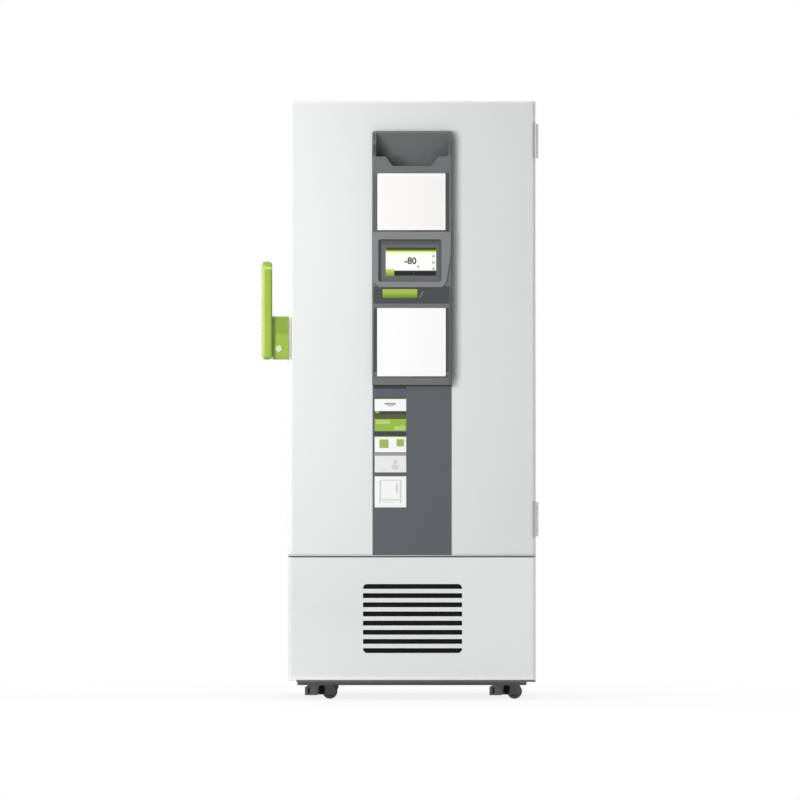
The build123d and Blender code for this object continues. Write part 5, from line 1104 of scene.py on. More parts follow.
@dataclass
class MainDoor:
    """Door skins, gasket and the lower strip with its printed fields."""

    film: float = 0.0003
    left: float = 0.0049
    right: float = 0.1113

    FIELDS = (
        # The first row is no print: a painted shadow line under the column's lower edge, across the strip's whole
        # width.
        ("strip_top_shadow_line", 0.0000, 0.0036, -0.045, 2.43, Paints.INK_BLACK),
        ("strip_head_band", 0.0036, 0.0128, 0.0, 1.0, Paints.INK_BLACK),
        ("strip_slate_band", 0.0128, 0.0402, 0.0, 1.0, Paints.INK_SLATE),
        ("strip_olive_line", 0.0402, 0.0462, 0.02, 1.0, Paints.INK_OLIVE),
        ("strip_first_field", 0.0462, 0.0859, 0.02, 1.0, Paints.PAPER_WHITE),
        ("strip_first_foot", 0.0859, 0.0971, 0.0, 1.0, Paints.INK_BLACK),
        ("strip_olive_band", 0.0971, 0.1123, 0.0, 1.0, Paints.INK_OLIVE),
        ("strip_second_field", 0.1123, 0.1520, 0.02, 1.0, Paints.INK_LIME),
        ("strip_second_foot", 0.1543, 0.1695, 0.0, 1.0, Paints.INK_BLACK),
        ("strip_third_line", 0.1695, 0.1722, 0.02, 1.0, Paints.INK_LIME),
        ("strip_third_field", 0.1722, 0.2224, 0.02, 1.0, Paints.PAPER_WHITE),
        ("strip_grey_band", 0.2243, 0.2339, 0.0, 1.0, Paints.INK_GREY),
        ("strip_fourth_field", 0.2339, 0.2887, 0.02, 1.0, Paints.PAPER_PALE),
        ("strip_fifth_field", 0.3020, 0.4045, 0.02, 1.0, Paints.PAPER_WHITE),
    )
    MARKS = (
        ("strip_first_mark", 0.0590, 0.0650, 0.33, 0.68, Paints.INK_GREY),
        ("strip_first_mark_low", 0.0665, 0.0690, 0.42, 0.62, Paints.INK_GREY),
        ("strip_first_tab", 0.0859, 0.0930, 0.04, 0.16, Paints.INK_LIME),
        ("strip_second_pale", 0.1160, 0.1290, 0.06, 0.50, Paints.INK_PALE_LIME),
        ("strip_second_pale_low", 0.1350, 0.1490, 0.62, 0.97, Paints.INK_PALE_LIME),
        ("strip_third_square", 0.1800, 0.2080, 0.17, 0.45, Paints.INK_MOSS),
        ("strip_third_square_small", 0.1790, 0.2030, 0.70, 0.93, Paints.INK_MOSS),
        ("strip_fourth_sketch", 0.2480, 0.2620, 0.62, 0.72, Paints.INK_FAINT),
        ("strip_fourth_sketch_low", 0.2650, 0.2790, 0.55, 0.76, Paints.INK_FAINT),
        ("strip_fourth_line", 0.2800, 0.2815, 0.18, 0.48, Paints.INK_FAINT),
        ("strip_fifth_rim_left", 0.3130, 0.3900, 0.17, 0.22, Paints.INK_FAINT),
        ("strip_fifth_rim_right", 0.3130, 0.3900, 0.80, 0.85, Paints.INK_FAINT),
        ("strip_fifth_rim_top", 0.3130, 0.3165, 0.24, 0.78, Paints.INK_FAINT),
        ("strip_fifth_rim_foot", 0.3780, 0.3815, 0.24, 0.78, Paints.INK_FAINT),
        ("strip_fifth_post", 0.3260, 0.3560, 0.68, 0.74, Paints.INK_FAINT),
        ("strip_fifth_line", 0.3860, 0.3880, 0.26, 0.62, Paints.INK_FAINT),
    )

    def build(self, kit: Kit, nodes: dict[str, bpy.types.Object]) -> None:
        """Dress the door's nodes and lay the strip's printed fields."""
        kit.nodes(nodes, self._skin_with_painted_light(), "door_outer_skin")
        kit.nodes(nodes, Paints.WALL_FOAM, "door_insulation")
        kit.nodes(nodes, Paints.WHITE_MOULDING, "door_inner_panel")
        kit.nodes(nodes, Paints.SEAL, "door_gasket")
        kit.nodes(nodes, Paints.HINGE_COAT, "door_hinge_leaves")
        kit.nodes(nodes, Paints.STRIP_GREY, "column_lower_strip")
        for number, group in enumerate((self.FIELDS, self.MARKS)):
            for name, top, bottom, start, end, finish in group:
                self._field(kit, name, (top, bottom), (start, end), finish, number)

    @staticmethod
    def _skin_with_painted_light() -> Finish:
        """The door's coat with painted light: a painted highlight along its latch edge and its top edge, a painted
        reflection of the green housing beside it, and painted shade along its foot, beside the column and at the
        hinges.

        Returns:
            The finish with its zones.
        """
        skin, housing, column = Box.of("door_outer_skin"), Box.of("latch_housing"), Box.of("control_column")
        front, deep = skin.low.y - 0.05, skin.low.y + 0.03
        # Painted light: highlights along the latch edge and the top edge, the housing's green reflection, shade along
        # the foot and the column's shadow.
        zones = (
            Zone((skin.low.x - 0.02, front, skin.low.z - 0.05), (skin.low.x + 0.020, deep, skin.high.z + 0.05),
                 (236, 237, 236), 0.008),
            Zone((skin.low.x - 0.02, front, housing.low.z - 0.004), (skin.low.x + 0.012, deep, housing.high.z + 0.004),
                 (238, 242, 214), 0.006),
            Zone((skin.low.x - 0.05, front, skin.high.z - 0.009), (skin.high.x + 0.05, deep, skin.high.z + 0.05),
                 (246, 246, 245), 0.004),
            Zone((skin.low.x - 0.05, front, skin.low.z - 0.05), (skin.high.x + 0.05, deep, skin.low.z + 0.0055),
                 (204, 205, 206), 0.004),
            Zone((column.high.x - 0.040, front, column.low.z + 0.002), (column.high.x + 0.036, deep,
                 column.high.z + 0.002), (150, 151, 152), 0.030, 0.9),
        )
        # Painted shade on the skin at the hinges.
        hinges = tuple(Zone((skin.high.x - 0.016, front, low - 0.006), (skin.high.x + 0.05, deep, high + 0.006),
                            (192, 193, 194), 0.006) for low, high in piece_heights("door_hinge_leaves"))
        return replace(Paints.WHITE_COAT, name="skin_coat", zones=zones + hinges)

    def _field(self, kit: Kit, name: str, drops: tuple[float, float], span: tuple[float, float],
               finish: Finish, layer: int) -> None:
        """Lay one printed field, or the painted shadow line, on the strip.

        Args:
            kit: The shared paint shop and list.
            name: Name of the piece.
            drops: How far its top and bottom lie below the strip's top.
            span: Its left and right as shares of the printed width.
            finish: Its ink.
            layer: 0 for a field on the strip, 1 for a mark on a field.
        """
        strip = Box.of("column_lower_strip")
        width = self.right - self.left
        x0 = strip.low.x + self.left + width * span[0]
        x1 = strip.low.x + self.left + width * span[1]
        front = strip.low.y - self.film * (layer + 1)
        low = Vector((x0, front, strip.high.z - drops[1]))
        high = Vector((x1, strip.low.y - self.film * layer, strip.high.z - drops[0]))
        piece = Bench.plate(name, low, high, 0.0008, Axis.Y, 0.00008)
        kit.fit(piece, "door", finish, "card" if layer == 0 else "light_green")


@dataclass
class ControlColumn:
    """Grey column with its cards, bezel, lit display and status light."""

    film: float = 0.0004
    card_border: float = 0.0095
    rim: float = 0.003
    lip_drop: float = 0.085
    pocket_wall: float = 0.020
    # Painted shade: these tones darken recesses, walls and edges of the column and the bezel where shade falls.
    pocket_shade: Rgb = (58, 59, 60)
    bay_left_shade: Rgb = (90, 90, 91)
    bay_right_shade: Rgb = (60, 61, 62)
    band_shade: Rgb = (58, 59, 61)
    edge_shade: Rgb = (84, 85, 86)
    floor_shade: Rgb = (96, 97, 98)
    wall_shade: Rgb = (72, 74, 77)
    right_wall_shade: Rgb = (74, 75, 78)
    wall_width: float = 0.0065
    wall_slant: float = 0.55

    def build(self, kit: Kit, nodes: dict[str, bpy.types.Object]) -> None:
        """Dress the column and build the lit display."""
        kit.nodes(nodes, self._shaded_column(), "control_column")
        kit.nodes(nodes, Paints.CARD, "column_cards")
        kit.nodes(nodes, self._shaded_bezel(), "display_bezel")
        kit.nodes(nodes, Paints.SCREEN_GLASS, "touch_screen")
        bar = Box.of("status_light_bar")
        kit.nodes(nodes, Glow("status_lens", ((0.0, (70, 96, 24)), (0.25, (104, 130, 48)), (0.55, (148, 172, 78)),
                                              (1.0, (158, 180, 88))), bar.low.z, bar.high.z, 0.8,
                              base=(96, 116, 44)), "status_light_bar")
        self._card_field(kit)
        self._recess_highlight(kit)
        self._display(kit)

    def _shaded_column(self) -> Finish:
        """The column's grey with painted shade: darker in the recesses round the cards, under the bezel, along its
        right edge and at the sides of the pocket.

        Returns:
            The finish with its zones.
        """
        column = Box.of("control_column")
        bezel = Box.of("display_bezel")
        cards = piece_heights("column_cards")
        low, high = column.low, column.high
        skin = low.y + 0.0006
        centre = (low.x + high.x) / 2
        zones = []
        # Painted shade in the card bays, lighter on the left and darker on the right, then under the bezel, along the
        # right edge and in the pocket.
        for bottom, top in cards:
            foot, head = bottom - 0.006, top + 0.002
            zones.append(Zone((low.x + self.rim, skin, foot), (centre, skin + 0.006, head), self.bay_left_shade))
            zones.append(Zone((centre, skin, foot), (high.x - self.rim, skin + 0.006, head), self.bay_right_shade))
        zones.append(Zone((low.x + self.rim, skin, cards[0][1] + 0.012), (high.x - self.rim, skin + 0.010,
                          bezel.low.z + 0.006), self.band_shade))
        front = low.y - 0.05
        zones.append(Zone((high.x - 0.012, front, low.z), (high.x + 0.02, high.y, bezel.low.z), self.edge_shade, 0.006))
        lip = high.z - self.lip_drop
        zones.append(Zone((low.x - 0.003, front, lip), (low.x + self.pocket_wall, high.y, lip + 0.045),
                          self.pocket_shade, 0.008))
        zones.append(Zone((high.x - self.pocket_wall, front, lip), (high.x + 0.003, high.y, lip + 0.055),
                          self.edge_shade, 0.008))
        return replace(Paints.COLUMN_GREY, zones=tuple(zones))

    def _shaded_bezel(self) -> Finish:
        """The bezel's lighter grey with painted shade: darker on the recess floor and on its left, upper and right
        walls.

        Returns:
            The finish with its zones.
        """
        bezel, screen = Box.of("display_bezel"), Box.of("touch_screen")
        front, deep = bezel.low.y, bezel.high.y + 0.001
        # Painted shade on the recess floor and its walls.
        zones = (
            Zone((bezel.low.x, front + 0.0006, bezel.low.z), (bezel.high.x, deep, bezel.high.z), self.floor_shade),
            Zone((bezel.low.x + 0.012, front + 0.0006, bezel.low.z + 0.012),
                 (screen.low.x - 0.012, deep, bezel.high.z - 0.015), self.wall_shade, 0.002),
            Zone((bezel.low.x + 0.012, front + 0.0006, screen.high.z + 0.010),
                 (bezel.high.x - 0.020, deep, bezel.high.z - 0.015), self.wall_shade, 0.002),
            Zone((screen.high.x + 0.009, front + 0.0006, bezel.low.z + 0.012),
                 (bezel.high.x - 0.020, deep, bezel.high.z - 0.015), self.right_wall_shade, 0.002),
        )
        return replace(Paints.BEZEL_GREY, zones=zones)

    def _recess_highlight(self, kit: Kit) -> None:
        """A thin plate in the column's own grey over the painted band shade: a painted highlight on the slanted end
        wall of the status light's recess.
        """
        bar = Box.of("status_light_bar")
        front = Box.of("control_column").low.y + 0.0004
        # Painted highlight: a light grey slanted plate over the dark band.
        wall = Bench.block("bar_recess_highlight", Vector((-self.wall_width / 2, front, bar.low.z)),
                           Vector((self.wall_width / 2, front + 0.0008, bar.high.z - 0.006)))
        for vertex in wall.data.vertices:
            vertex.co.x += bar.high.x + 0.0075 + (vertex.co.z - bar.low.z) * self.wall_slant
        Bench.soften(wall, 0.0002, 1)
        kit.fit(wall, "door", replace(Paints.COLUMN_GREY, name="recess_highlight_grey"), "column_grey")

    def _card_field(self, kit: Kit) -> None:
        """The upper card's slightly darker inner field."""
        cards = Box.of("column_cards")
        upper = piece_heights("column_cards")[-1]
        inset = self.card_border
        low = Vector((cards.low.x + 0.001 + inset, cards.low.y - self.film, upper[0] + inset))
        high = Vector((cards.high.x - 0.001 - inset, cards.low.y, upper[1] - inset))
        kit.fit(Bench.plate("upper_card_field", low, high, 0.001, Axis.Y, 0.0001), "door", Paints.CARD_FIELD, "card")

    def _panel(self, kit: Kit, name: str, limits: tuple[float, float, float, float], layer: int,
               finish: Finish | Glow, corner: float = 0.0006) -> bpy.types.Object:
        """Lay one lit or printed field on the screen.

        Args:
            kit: The shared paint shop and list.
            name: Name of the piece.
            limits: Left, right, bottom and top, from the screen's lower left corner.
            layer: How many films lie under it.
            finish: Its finish.
            corner: Corner radius.

        Returns:
            The new piece.
        """
        screen = Box.of("touch_screen")
        left, right, bottom, top = limits
        low = Vector((screen.low.x + left, screen.low.y - self.film * (layer + 1), screen.low.z + bottom))
        high = Vector((screen.low.x + right, screen.low.y - self.film * layer, screen.low.z + top))
        return kit.fit(Bench.plate(name, low, high, corner, Axis.Y, 0.00008), "door", finish, "screen")

    def _display(self, kit: Kit) -> None:
        """The lit field with its bands, its tab, its number and its side marks."""
        screen = Box.of("touch_screen")
        wide, tall = screen.size.x, screen.size.z
        floor = screen.low.z
        body = Glow("display_field", ((0.0, (250, 250, 250)), (0.72, (254, 254, 250)), (0.80, (248, 252, 205)),
                                      (0.90, (222, 234, 130)), (0.97, (150, 172, 60)), (1.0, (92, 112, 24))),
                    floor + 0.020, floor + tall - 0.0030, 1.0)
        self._panel(kit, "display_field", (0.0005, wide - 0.0005, 0.019, tall - 0.0005), 0, body, 0.0012)
        dark = Glow("display_band", ((0.0, (202, 216, 112)), (0.2, (158, 174, 66)), (0.4, (86, 104, 28)),
                                     (0.6, (56, 72, 14)), (1.0, (50, 58, 28))), floor + tall - 0.0128, floor + tall)
        self._panel(kit, "display_head", (0.0015, wide - 0.0015, tall - 0.0128, tall - 0.0004), 1, dark)
        black = Glow("display_foot", ((0.0, (30, 30, 34)), (0.75, (26, 26, 31)), (1.0, (70, 72, 80))), floor + 0.0020,
                     floor + 0.0185)
        self._panel(kit, "display_foot_bar", (0.0280, wide - 0.0015, 0.0022, 0.0182), 1, black)
        lime = Glow("display_tab", ((0.0, (126, 142, 72)), (0.35, (156, 182, 62)), (1.0, (204, 226, 104))),
                    floor, floor + 0.024)
        self._panel(kit, "display_tab", (0.0008, 0.0284, 0.0006, 0.0236), 2, lime, 0.0016)
        mark = Glow("display_mark", ((0.0, (190, 194, 180)), (1.0, (190, 194, 180))), floor, floor + tall)
        rule = Glow("display_rule", ((0.0, (66, 68, 70)), (1.0, (66, 68, 70))), floor, floor + tall)
        for number, z in enumerate((0.062, 0.0415, 0.0205)):
            self._panel(kit, "display_side_mark_%d" % (number + 1), (wide - 0.0140, wide - 0.0050, z, z + 0.0085),
                        1, mark, 0.0020)
        for number, share in enumerate((0.48,)):
            self._panel(kit, "display_divider_%d" % (number + 1),
                        (wide * share + 0.0125, wide * share + 0.0140, 0.0034, 0.0160), 2, rule, 0.0002)
        self._number(kit, "-80", Vector((screen.low.x + 0.0820, screen.low.y - self.film * 1.6, floor + 0.0500)),
                     0.0300)
        self._number(kit, "20", Vector((screen.low.x + 0.1080, screen.low.y - self.film * 1.6, floor + 0.0315)),
                     0.0080)

    def _number(self, kit: Kit, text: str, centre: Vector, size: float) -> None:
        """A plain number on the lit field, made a thin mesh."""
        Bench.clear()
        bpy.ops.object.text_add(location=centre, rotation=(math.pi / 2, 0, 0))
        words = bpy.context.object
        words.data.body = text
        words.data.size = size
        words.data.extrude = 0.00012
        words.data.offset = size * 0.030
        words.data.align_x = "CENTER"
        words.data.align_y = "CENTER"
        words.name = "display_number_" + text.strip("-")
        bpy.ops.object.convert(target="MESH")
        piece = Bench.settle(bpy.context.object)
        ink = Glow("display_ink", ((0.0, (66, 70, 54)), (1.0, (66, 70, 54))), centre.z - size, centre.z + size)
        kit.fit(piece, "door", ink, "screen")


@dataclass
class SideLatch:
    """Green lever, its housing, the hook and the lock."""

    ring_radius: float = 0.0125
    ring_proud: float = 0.0012
    groove_fill_width: float = 0.0095
    groove_fill_proud: float = 0.0040

    def build(self, kit: Kit, nodes: dict[str, bpy.types.Object]) -> None:
        """Dress the latch and add the lock's ring and the strip in the groove beside the housing."""
        kit.nodes(nodes, self._lever_with_painted_light(), "latch_lever")
        kit.nodes(nodes, self._housing_with_painted_shade(), "latch_housing")
        kit.nodes(nodes, Paints.HINGE_STEEL, "latch_hook")
        kit.nodes(nodes, Paints.KEY_METAL, "key_cylinder")
        lock = Box.of("key_cylinder")
        front = Box.of("latch_housing").low.y
        ring = Bench.turned("lock_ring", Vector((lock.centre.x, front - self.ring_proud / 2 + 0.0002, lock.centre.z)),
                            self.ring_radius, self.ring_proud + 0.0004, Axis.Y, 40)
        Bench.facing(ring, Vector((0, -1, 0)))
        bpy.ops.mesh.inset(thickness=self.ring_radius - 0.0104, depth=0.0)
        bpy.ops.mesh.delete(type="FACE")
        bpy.ops.object.mode_set(mode="OBJECT")
        Bench.facing(ring, Vector((0, 1, 0)))
        bpy.ops.mesh.inset(thickness=self.ring_radius - 0.0104, depth=0.0)
        bpy.ops.mesh.delete(type="FACE")
        Bench.pick(ring, "EDGE", lambda edge: edge.is_boundary)
        bpy.ops.mesh.bridge_edge_loops()
        bpy.ops.object.mode_set(mode="OBJECT")
        Bench.soften(ring, 0.0004)
        kit.fit(ring, "door", Paints.LOCK_RING, "chrome")
        self._groove_fill(kit)

    def _groove_fill(self, kit: Kit) -> None:
        """Pale strip that fills the groove between the housing and the door's rounded edge, where the housing's shadow
        would fall; its pale yellowish colour is painted light.
        """
        housing, skin = Box.of("latch_housing"), Box.of("door_outer_skin")
        low = Vector((housing.high.x - 0.0010, skin.low.y - self.groove_fill_proud, housing.low.z + 0.001))
        high = Vector((housing.high.x + self.groove_fill_width, skin.low.y + 0.006, housing.high.z - 0.001))
        kit.fit(Bench.plate("housing_groove_fill", low, high, 0.0, Axis.Y, 0.0008), "door", Paints.LATCH_GROOVE_FILL, "seal")

    @staticmethod
    def _lever_with_painted_light() -> Finish:
        """The lever's green with painted light: a painted highlight along its outer edge and in a line below its cap,
        painted shade along the inner edge, at the cap and at its foot.

        Returns:
            The finish with its zones.
        """
        low, high = Box.of("latch_lever").low, Box.of("latch_lever").high
        front, deep = low.y - 0.05, high.y + 0.05
        # Painted light: highlight on the outer edge, shade on the inner edge, shade at the cap, a highlight line below
        # it and shade at the foot.
        zones = (
            Zone((low.x - 0.02, front, low.z - 0.01), (low.x + 0.0125, deep, high.z + 0.01), (194, 212, 132), 0.004),
            Zone((high.x - 0.010, front, low.z - 0.01), (high.x + 0.02, deep, high.z + 0.01), (126, 154, 36), 0.005),
            Zone((low.x + 0.004, front, high.z - 0.014), (high.x + 0.01, deep, high.z + 0.02), (146, 172, 62), 0.003),
            Zone((low.x - 0.02, front, high.z - 0.027), (high.x + 0.02, deep, high.z - 0.016), (190, 212, 116), 0.003),
            Zone((low.x + 0.004, front, low.z - 0.02), (high.x + 0.01, deep, low.z + 0.012), (122, 150, 34), 0.006),
        )
        return replace(Paints.LATCH_GREEN, zones=zones)

    @staticmethod
    def _housing_with_painted_shade() -> Finish:
        """The housing's green with painted shade: darker on the shoulder above the lock's field and along its left side
        next to the lever.

        Returns:
            The finish with its zones.
        """
        low, high = Box.of("latch_housing").low, Box.of("latch_housing").high
        front = low.y - 0.05
        # Painted shade on the upper shoulder and along the left side beside the lever.
        zones = (
            Zone((low.x - 0.01, front, high.z - 0.062), (high.x + 0.01, high.y, high.z + 0.02), (130, 160, 36), 0.006),
            Zone((low.x - 0.01, front, low.z - 0.01), (low.x + 0.014, high.y, high.z), (128, 156, 36), 0.008),
        )
        return replace(Paints.LATCH_GREEN, name="housing_green", zones=zones)


@dataclass
class MachineBay:
    """Service door, filter, condenser, fan, compressors and lines."""

    pleat_pitch: float = 0.009
    pleat_depth: float = 0.0045
    fin_pitch: float = 0.0042
    fin_thick: float = 0.00022
    trim_height: float = 0.0070
    trim_proud: float = 0.0010
    pad_width: float = 0.099
    pad_foot: float = 0.0400

    def build(self, kit: Kit, nodes: dict[str, bpy.types.Object]) -> None:
        """Dress the machine bay and add the close fins, the foot trim and the pads under the pan."""
        kit.nodes(nodes, self._service_door_with_painted_light(), "service_door_panel")
        kit.nodes(nodes, Paints.FILTER_FLEECE, "air_filter")
        kit.nodes(nodes, Paints.FIN_ALUMINIUM, "condenser_coil")
        kit.nodes(nodes, Paints.BLACK_MOULDING, "fan_shroud", "fan_blades")
        kit.nodes(nodes, Paints.COMPRESSOR_ENAMEL, "compressor_first_stage", "compressor_second_stage")
        kit.nodes(nodes, Paints.COPPER, "refrigerant_lines")
        kit.nodes(nodes, Paints.DARK_COAT, "base_frame", "base_skirt", "base_pan")
        self._close_fins(kit)
        self._foot_trim(kit)
        self._mount_pads(kit)

    @staticmethod
    def _service_door_with_painted_light() -> Finish:
        """The service door's coat with painted light: paler over its right half and low down, painted shade along its
        top edge beside the gap and a painted highlight along its foot.

        Returns:
            The finish with its zones.
        """
        door = Box.of("service_door_panel")
        # Painted light: the right half and the lower part paler, shade along the top edge and a highlight along the
        # foot.
        bright = Zone((door.low.x + 0.20, door.low.y - 1, door.low.z - 1), (door.high.x + 1, door.high.y + 1,
                      door.high.z + 1), (240, 241, 241), 0.55)
        # The hem zone is a painted highlight along the foot.
        hem = Zone((door.low.x, door.low.y - 0.05, door.low.z + 0.005),
                   (door.high.x, door.low.y + 0.004, door.low.z + 0.021), (250, 250, 250), 0.003)
        foot = Zone((door.low.x - 1, door.low.y - 1, door.low.z - 1), (door.high.x + 1, door.high.y + 1,
                    door.low.z + 0.24), (240, 241, 241), 0.24, 0.8)
        head = Zone((door.low.x - 0.05, door.low.y - 0.05, door.high.z - 0.0055), (door.high.x + 0.05,
                    door.low.y + 0.03, door.high.z + 0.05), (204, 205, 206), 0.004)
        return replace(Paints.SERVICE_COAT, zones=(bright, foot, head, hem))

    def _foot_trim(self, kit: Kit) -> None:
        """Dark rubber trim along the service door's foot, in line with the skirt."""
        door, skirt = Box.of("service_door_panel"), Box.of("base_skirt")
        low = Vector((skirt.low.x, door.low.y - self.trim_proud, door.low.z + 0.0006))
        high = Vector((door.high.x - 0.004, door.low.y + 0.0010, door.low.z + self.trim_height))
        trim = Bench.plate("service_door_trim", low, high, 0.0, Axis.Y, 0.0004)
        kit.fit(trim, "service_door", Paints.DARK_COAT, "dark_paint")

    def _mount_pads(self, kit: Kit) -> None:
        """Shallow pads under the pan, one below each compressor."""
        pan = Box.of("base_pan")
        pads = []
        for name in ("compressor_first_stage", "compressor_second_stage"):
            body = Box.of(name)
            low = Vector((body.centre.x - self.pad_width / 2, body.low.y, self.pad_foot))
            high = Vector((body.centre.x + self.pad_width / 2, body.high.y, pan.low.z + 0.0010))
            pad = Bench.block("pad", low, high)
            Bench.round_corners(pad, Axis.Z, 0.020)
            pads.append(Bench.soften(pad, 0.0012))
        kit.fit(Bench.joined(pads, "pan_mount_pads"), "cabinet", Paints.DARK_COAT, "dark_paint")

    def _close_fins(self, kit: Kit) -> None:
        """Thin fins between the coil's end plates."""
        coil = Box.of("condenser_coil")
        shroud = Box.of("fan_shroud")
        left, right = shroud.low.x + 0.004, shroud.high.x - 0.004
        master = Bench.block("fin", Vector((left, coil.low.y + 0.003, shroud.low.z + 0.011)),
                             Vector((left + self.fin_thick, coil.high.y - 0.003, shroud.high.z - 0.009)))
        count = int((right - left) / self.fin_pitch)
        fins = [Bench.copied(master, "fin_copy", Vector((self.fin_pitch * number, 0, 0))) for number in range(1, count)]
        kit.fit(Bench.joined([master] + fins, "condenser_fins"), "cabinet", Paints.FIN_ALUMINIUM, "fins")


@dataclass
class Casters:
    """Four casters with capped axles."""

    cap_radius: float = 0.0072
    cap_proud: float = 0.0024
    # Painted shadow: black plates on the fork legs beside the wheel.
    shadow_plate_left: float = 0.0217
    shadow_plate_width: float = 0.0190
    shadow_plate_foot: float = 0.0165
    shadow_plate_top: float = 0.0440
    shadow_plate_proud: float = 0.0009
    hem_bottom: float = 0.0460
    hem_top: float = 0.0500
    hem_inset: float = 0.0042
    hem_thick: float = 0.0030

    def build(self, kit: Kit, nodes: dict[str, bpy.types.Object]) -> None:
        """Dress the casters, cap their axles and hem the skirt above them."""
        kit.nodes(nodes, Paints.CASTER_STEEL, "caster_plates")
        for place in ("front_left", "front_right", "rear_left", "rear_right"):
            kit.nodes(nodes, self._shaded_fork(place), "caster_fork_" + place)
            kit.nodes(nodes, Paints.WHEEL_TREAD, "caster_wheel_" + place)
            if place.startswith("front"):
                kit.nodes(nodes, self._slotted_pedal(place), "brake_pedal_" + place)
            self._axle_caps(kit, place)
            self._fork_shadow_plates(kit, place)
        self._skirt_hem(kit)

    @staticmethod
    def _shaded_fork(place: str) -> Finish:
        """Fork steel with a painted shadow: black in the gap beside the wheel.

        Args:
            place: Which caster.

        Returns:
            The finish with its zone.
        """
        pivot = Box.of("caster_fork_" + place).low.x + 0.024
        fork = Box.of("caster_fork_" + place)
        # Painted shadow: black in the gap between the fork's pivot and the wheel.
        zone = Zone((pivot - 0.0035, fork.low.y - 0.01, 0.016), (pivot + 0.019, fork.high.y + 0.01, 0.044),
                    (16, 16, 17), 0.003)
        return replace(Paints.CASTER_STEEL, name="fork_steel_" + place, zones=(zone,))

    @staticmethod
    def _slotted_pedal(place: str) -> Finish:
        """Pedal grey, with painted shade that makes its slot black.

        Args:
            place: Which caster.

        Returns:
            The finish with its zone.
        """
        pedal = Box.of("brake_pedal_" + place)
        # Painted shade inside the slot.
        zone = Zone((pedal.low.x + 0.007, pedal.low.y + 0.0006, 0.015), (pedal.low.x + 0.019, pedal.high.y - 0.0006,
                    0.040), (18, 18, 19), 0.0015)
        return replace(Paints.PEDAL_GREY, name="pedal_grey_" + place, zones=(zone,))

    def _skirt_hem(self, kit: Kit) -> None:
        """Folded hem along the foot of the skirt, at its front and sides."""
        skirt = Box.of("base_skirt")
        half = 0.383 - self.hem_inset
        middle = (Box.of("side_panels").low.x + Box.of("side_panels").high.x) / 2
        front = Box.of("cabinet_insulation").low.y - 0.060 + self.hem_inset
        rear = skirt.high.y - self.hem_inset
        bars = [
            Bench.block("hem", Vector((middle - half, front, self.hem_bottom)),
                        Vector((middle + half, front + self.hem_thick, self.hem_top))),
            Bench.block("hem", Vector((middle - half, front, self.hem_bottom)),
                        Vector((middle - half + self.hem_thick, rear, self.hem_top))),
            Bench.block("hem", Vector((middle + half - self.hem_thick, front, self.hem_bottom)),
                        Vector((middle + half, rear, self.hem_top))),
        ]
        for bar in bars:
            Bench.soften(bar, 0.0007)
        kit.fit(Bench.joined(bars, "skirt_hem"), "cabinet", Paints.DARK_COAT, "dark_paint")

    def _axle_caps(self, kit: Kit, place: str) -> None:
        """Nut and head at the two ends of one axle."""
        wheel, fork = Box.of("caster_wheel_" + place), Box.of("caster_fork_" + place)
        caps = []
        for side in (-1, 1):
            y = wheel.centre.y + side * 0.0145
            cap = Bench.turned("cap", Vector((wheel.centre.x, y + side * self.cap_proud / 2, wheel.centre.z)),
                               self.cap_radius, self.cap_proud, Axis.Y, 6)
            Bench.soften(cap, 0.0006)
            caps.append(cap)
        LOG.debug("fork %s spans %s", place, fork.size)
        kit.fit(Bench.joined(caps, "axle_nuts_" + place), "swivel_" + place, Paints.CASTER_STEEL, "caster_steel")

    def _fork_shadow_plates(self, kit: Kit, place: str) -> None:
        """Matt black plates on both legs of one fork, beside the wheel: a painted shadow in the gap there."""
        fork = Box.of("caster_fork_" + place)
        shadow_plates = []
        for face, out in ((fork.low.y, -1), (fork.high.y, 1)):
            near, far = sorted((face, face + out * self.shadow_plate_proud))
            low = Vector((fork.low.x + self.shadow_plate_left, near, self.shadow_plate_foot))
            high = Vector((fork.low.x + self.shadow_plate_left + self.shadow_plate_width, far, self.shadow_plate_top))
            shadow_plate = Bench.block("shadow_plate", low, high)
            Bench.round_corners(shadow_plate, Axis.Y, 0.006)
            shadow_plates.append(Bench.soften(shadow_plate, 0.0003))
        kit.fit(Bench.joined(shadow_plates, "fork_shadow_plates_" + place), "swivel_" + place, Paints.FORK_SHADOW_BLACK, "black_plastic")


# Studio


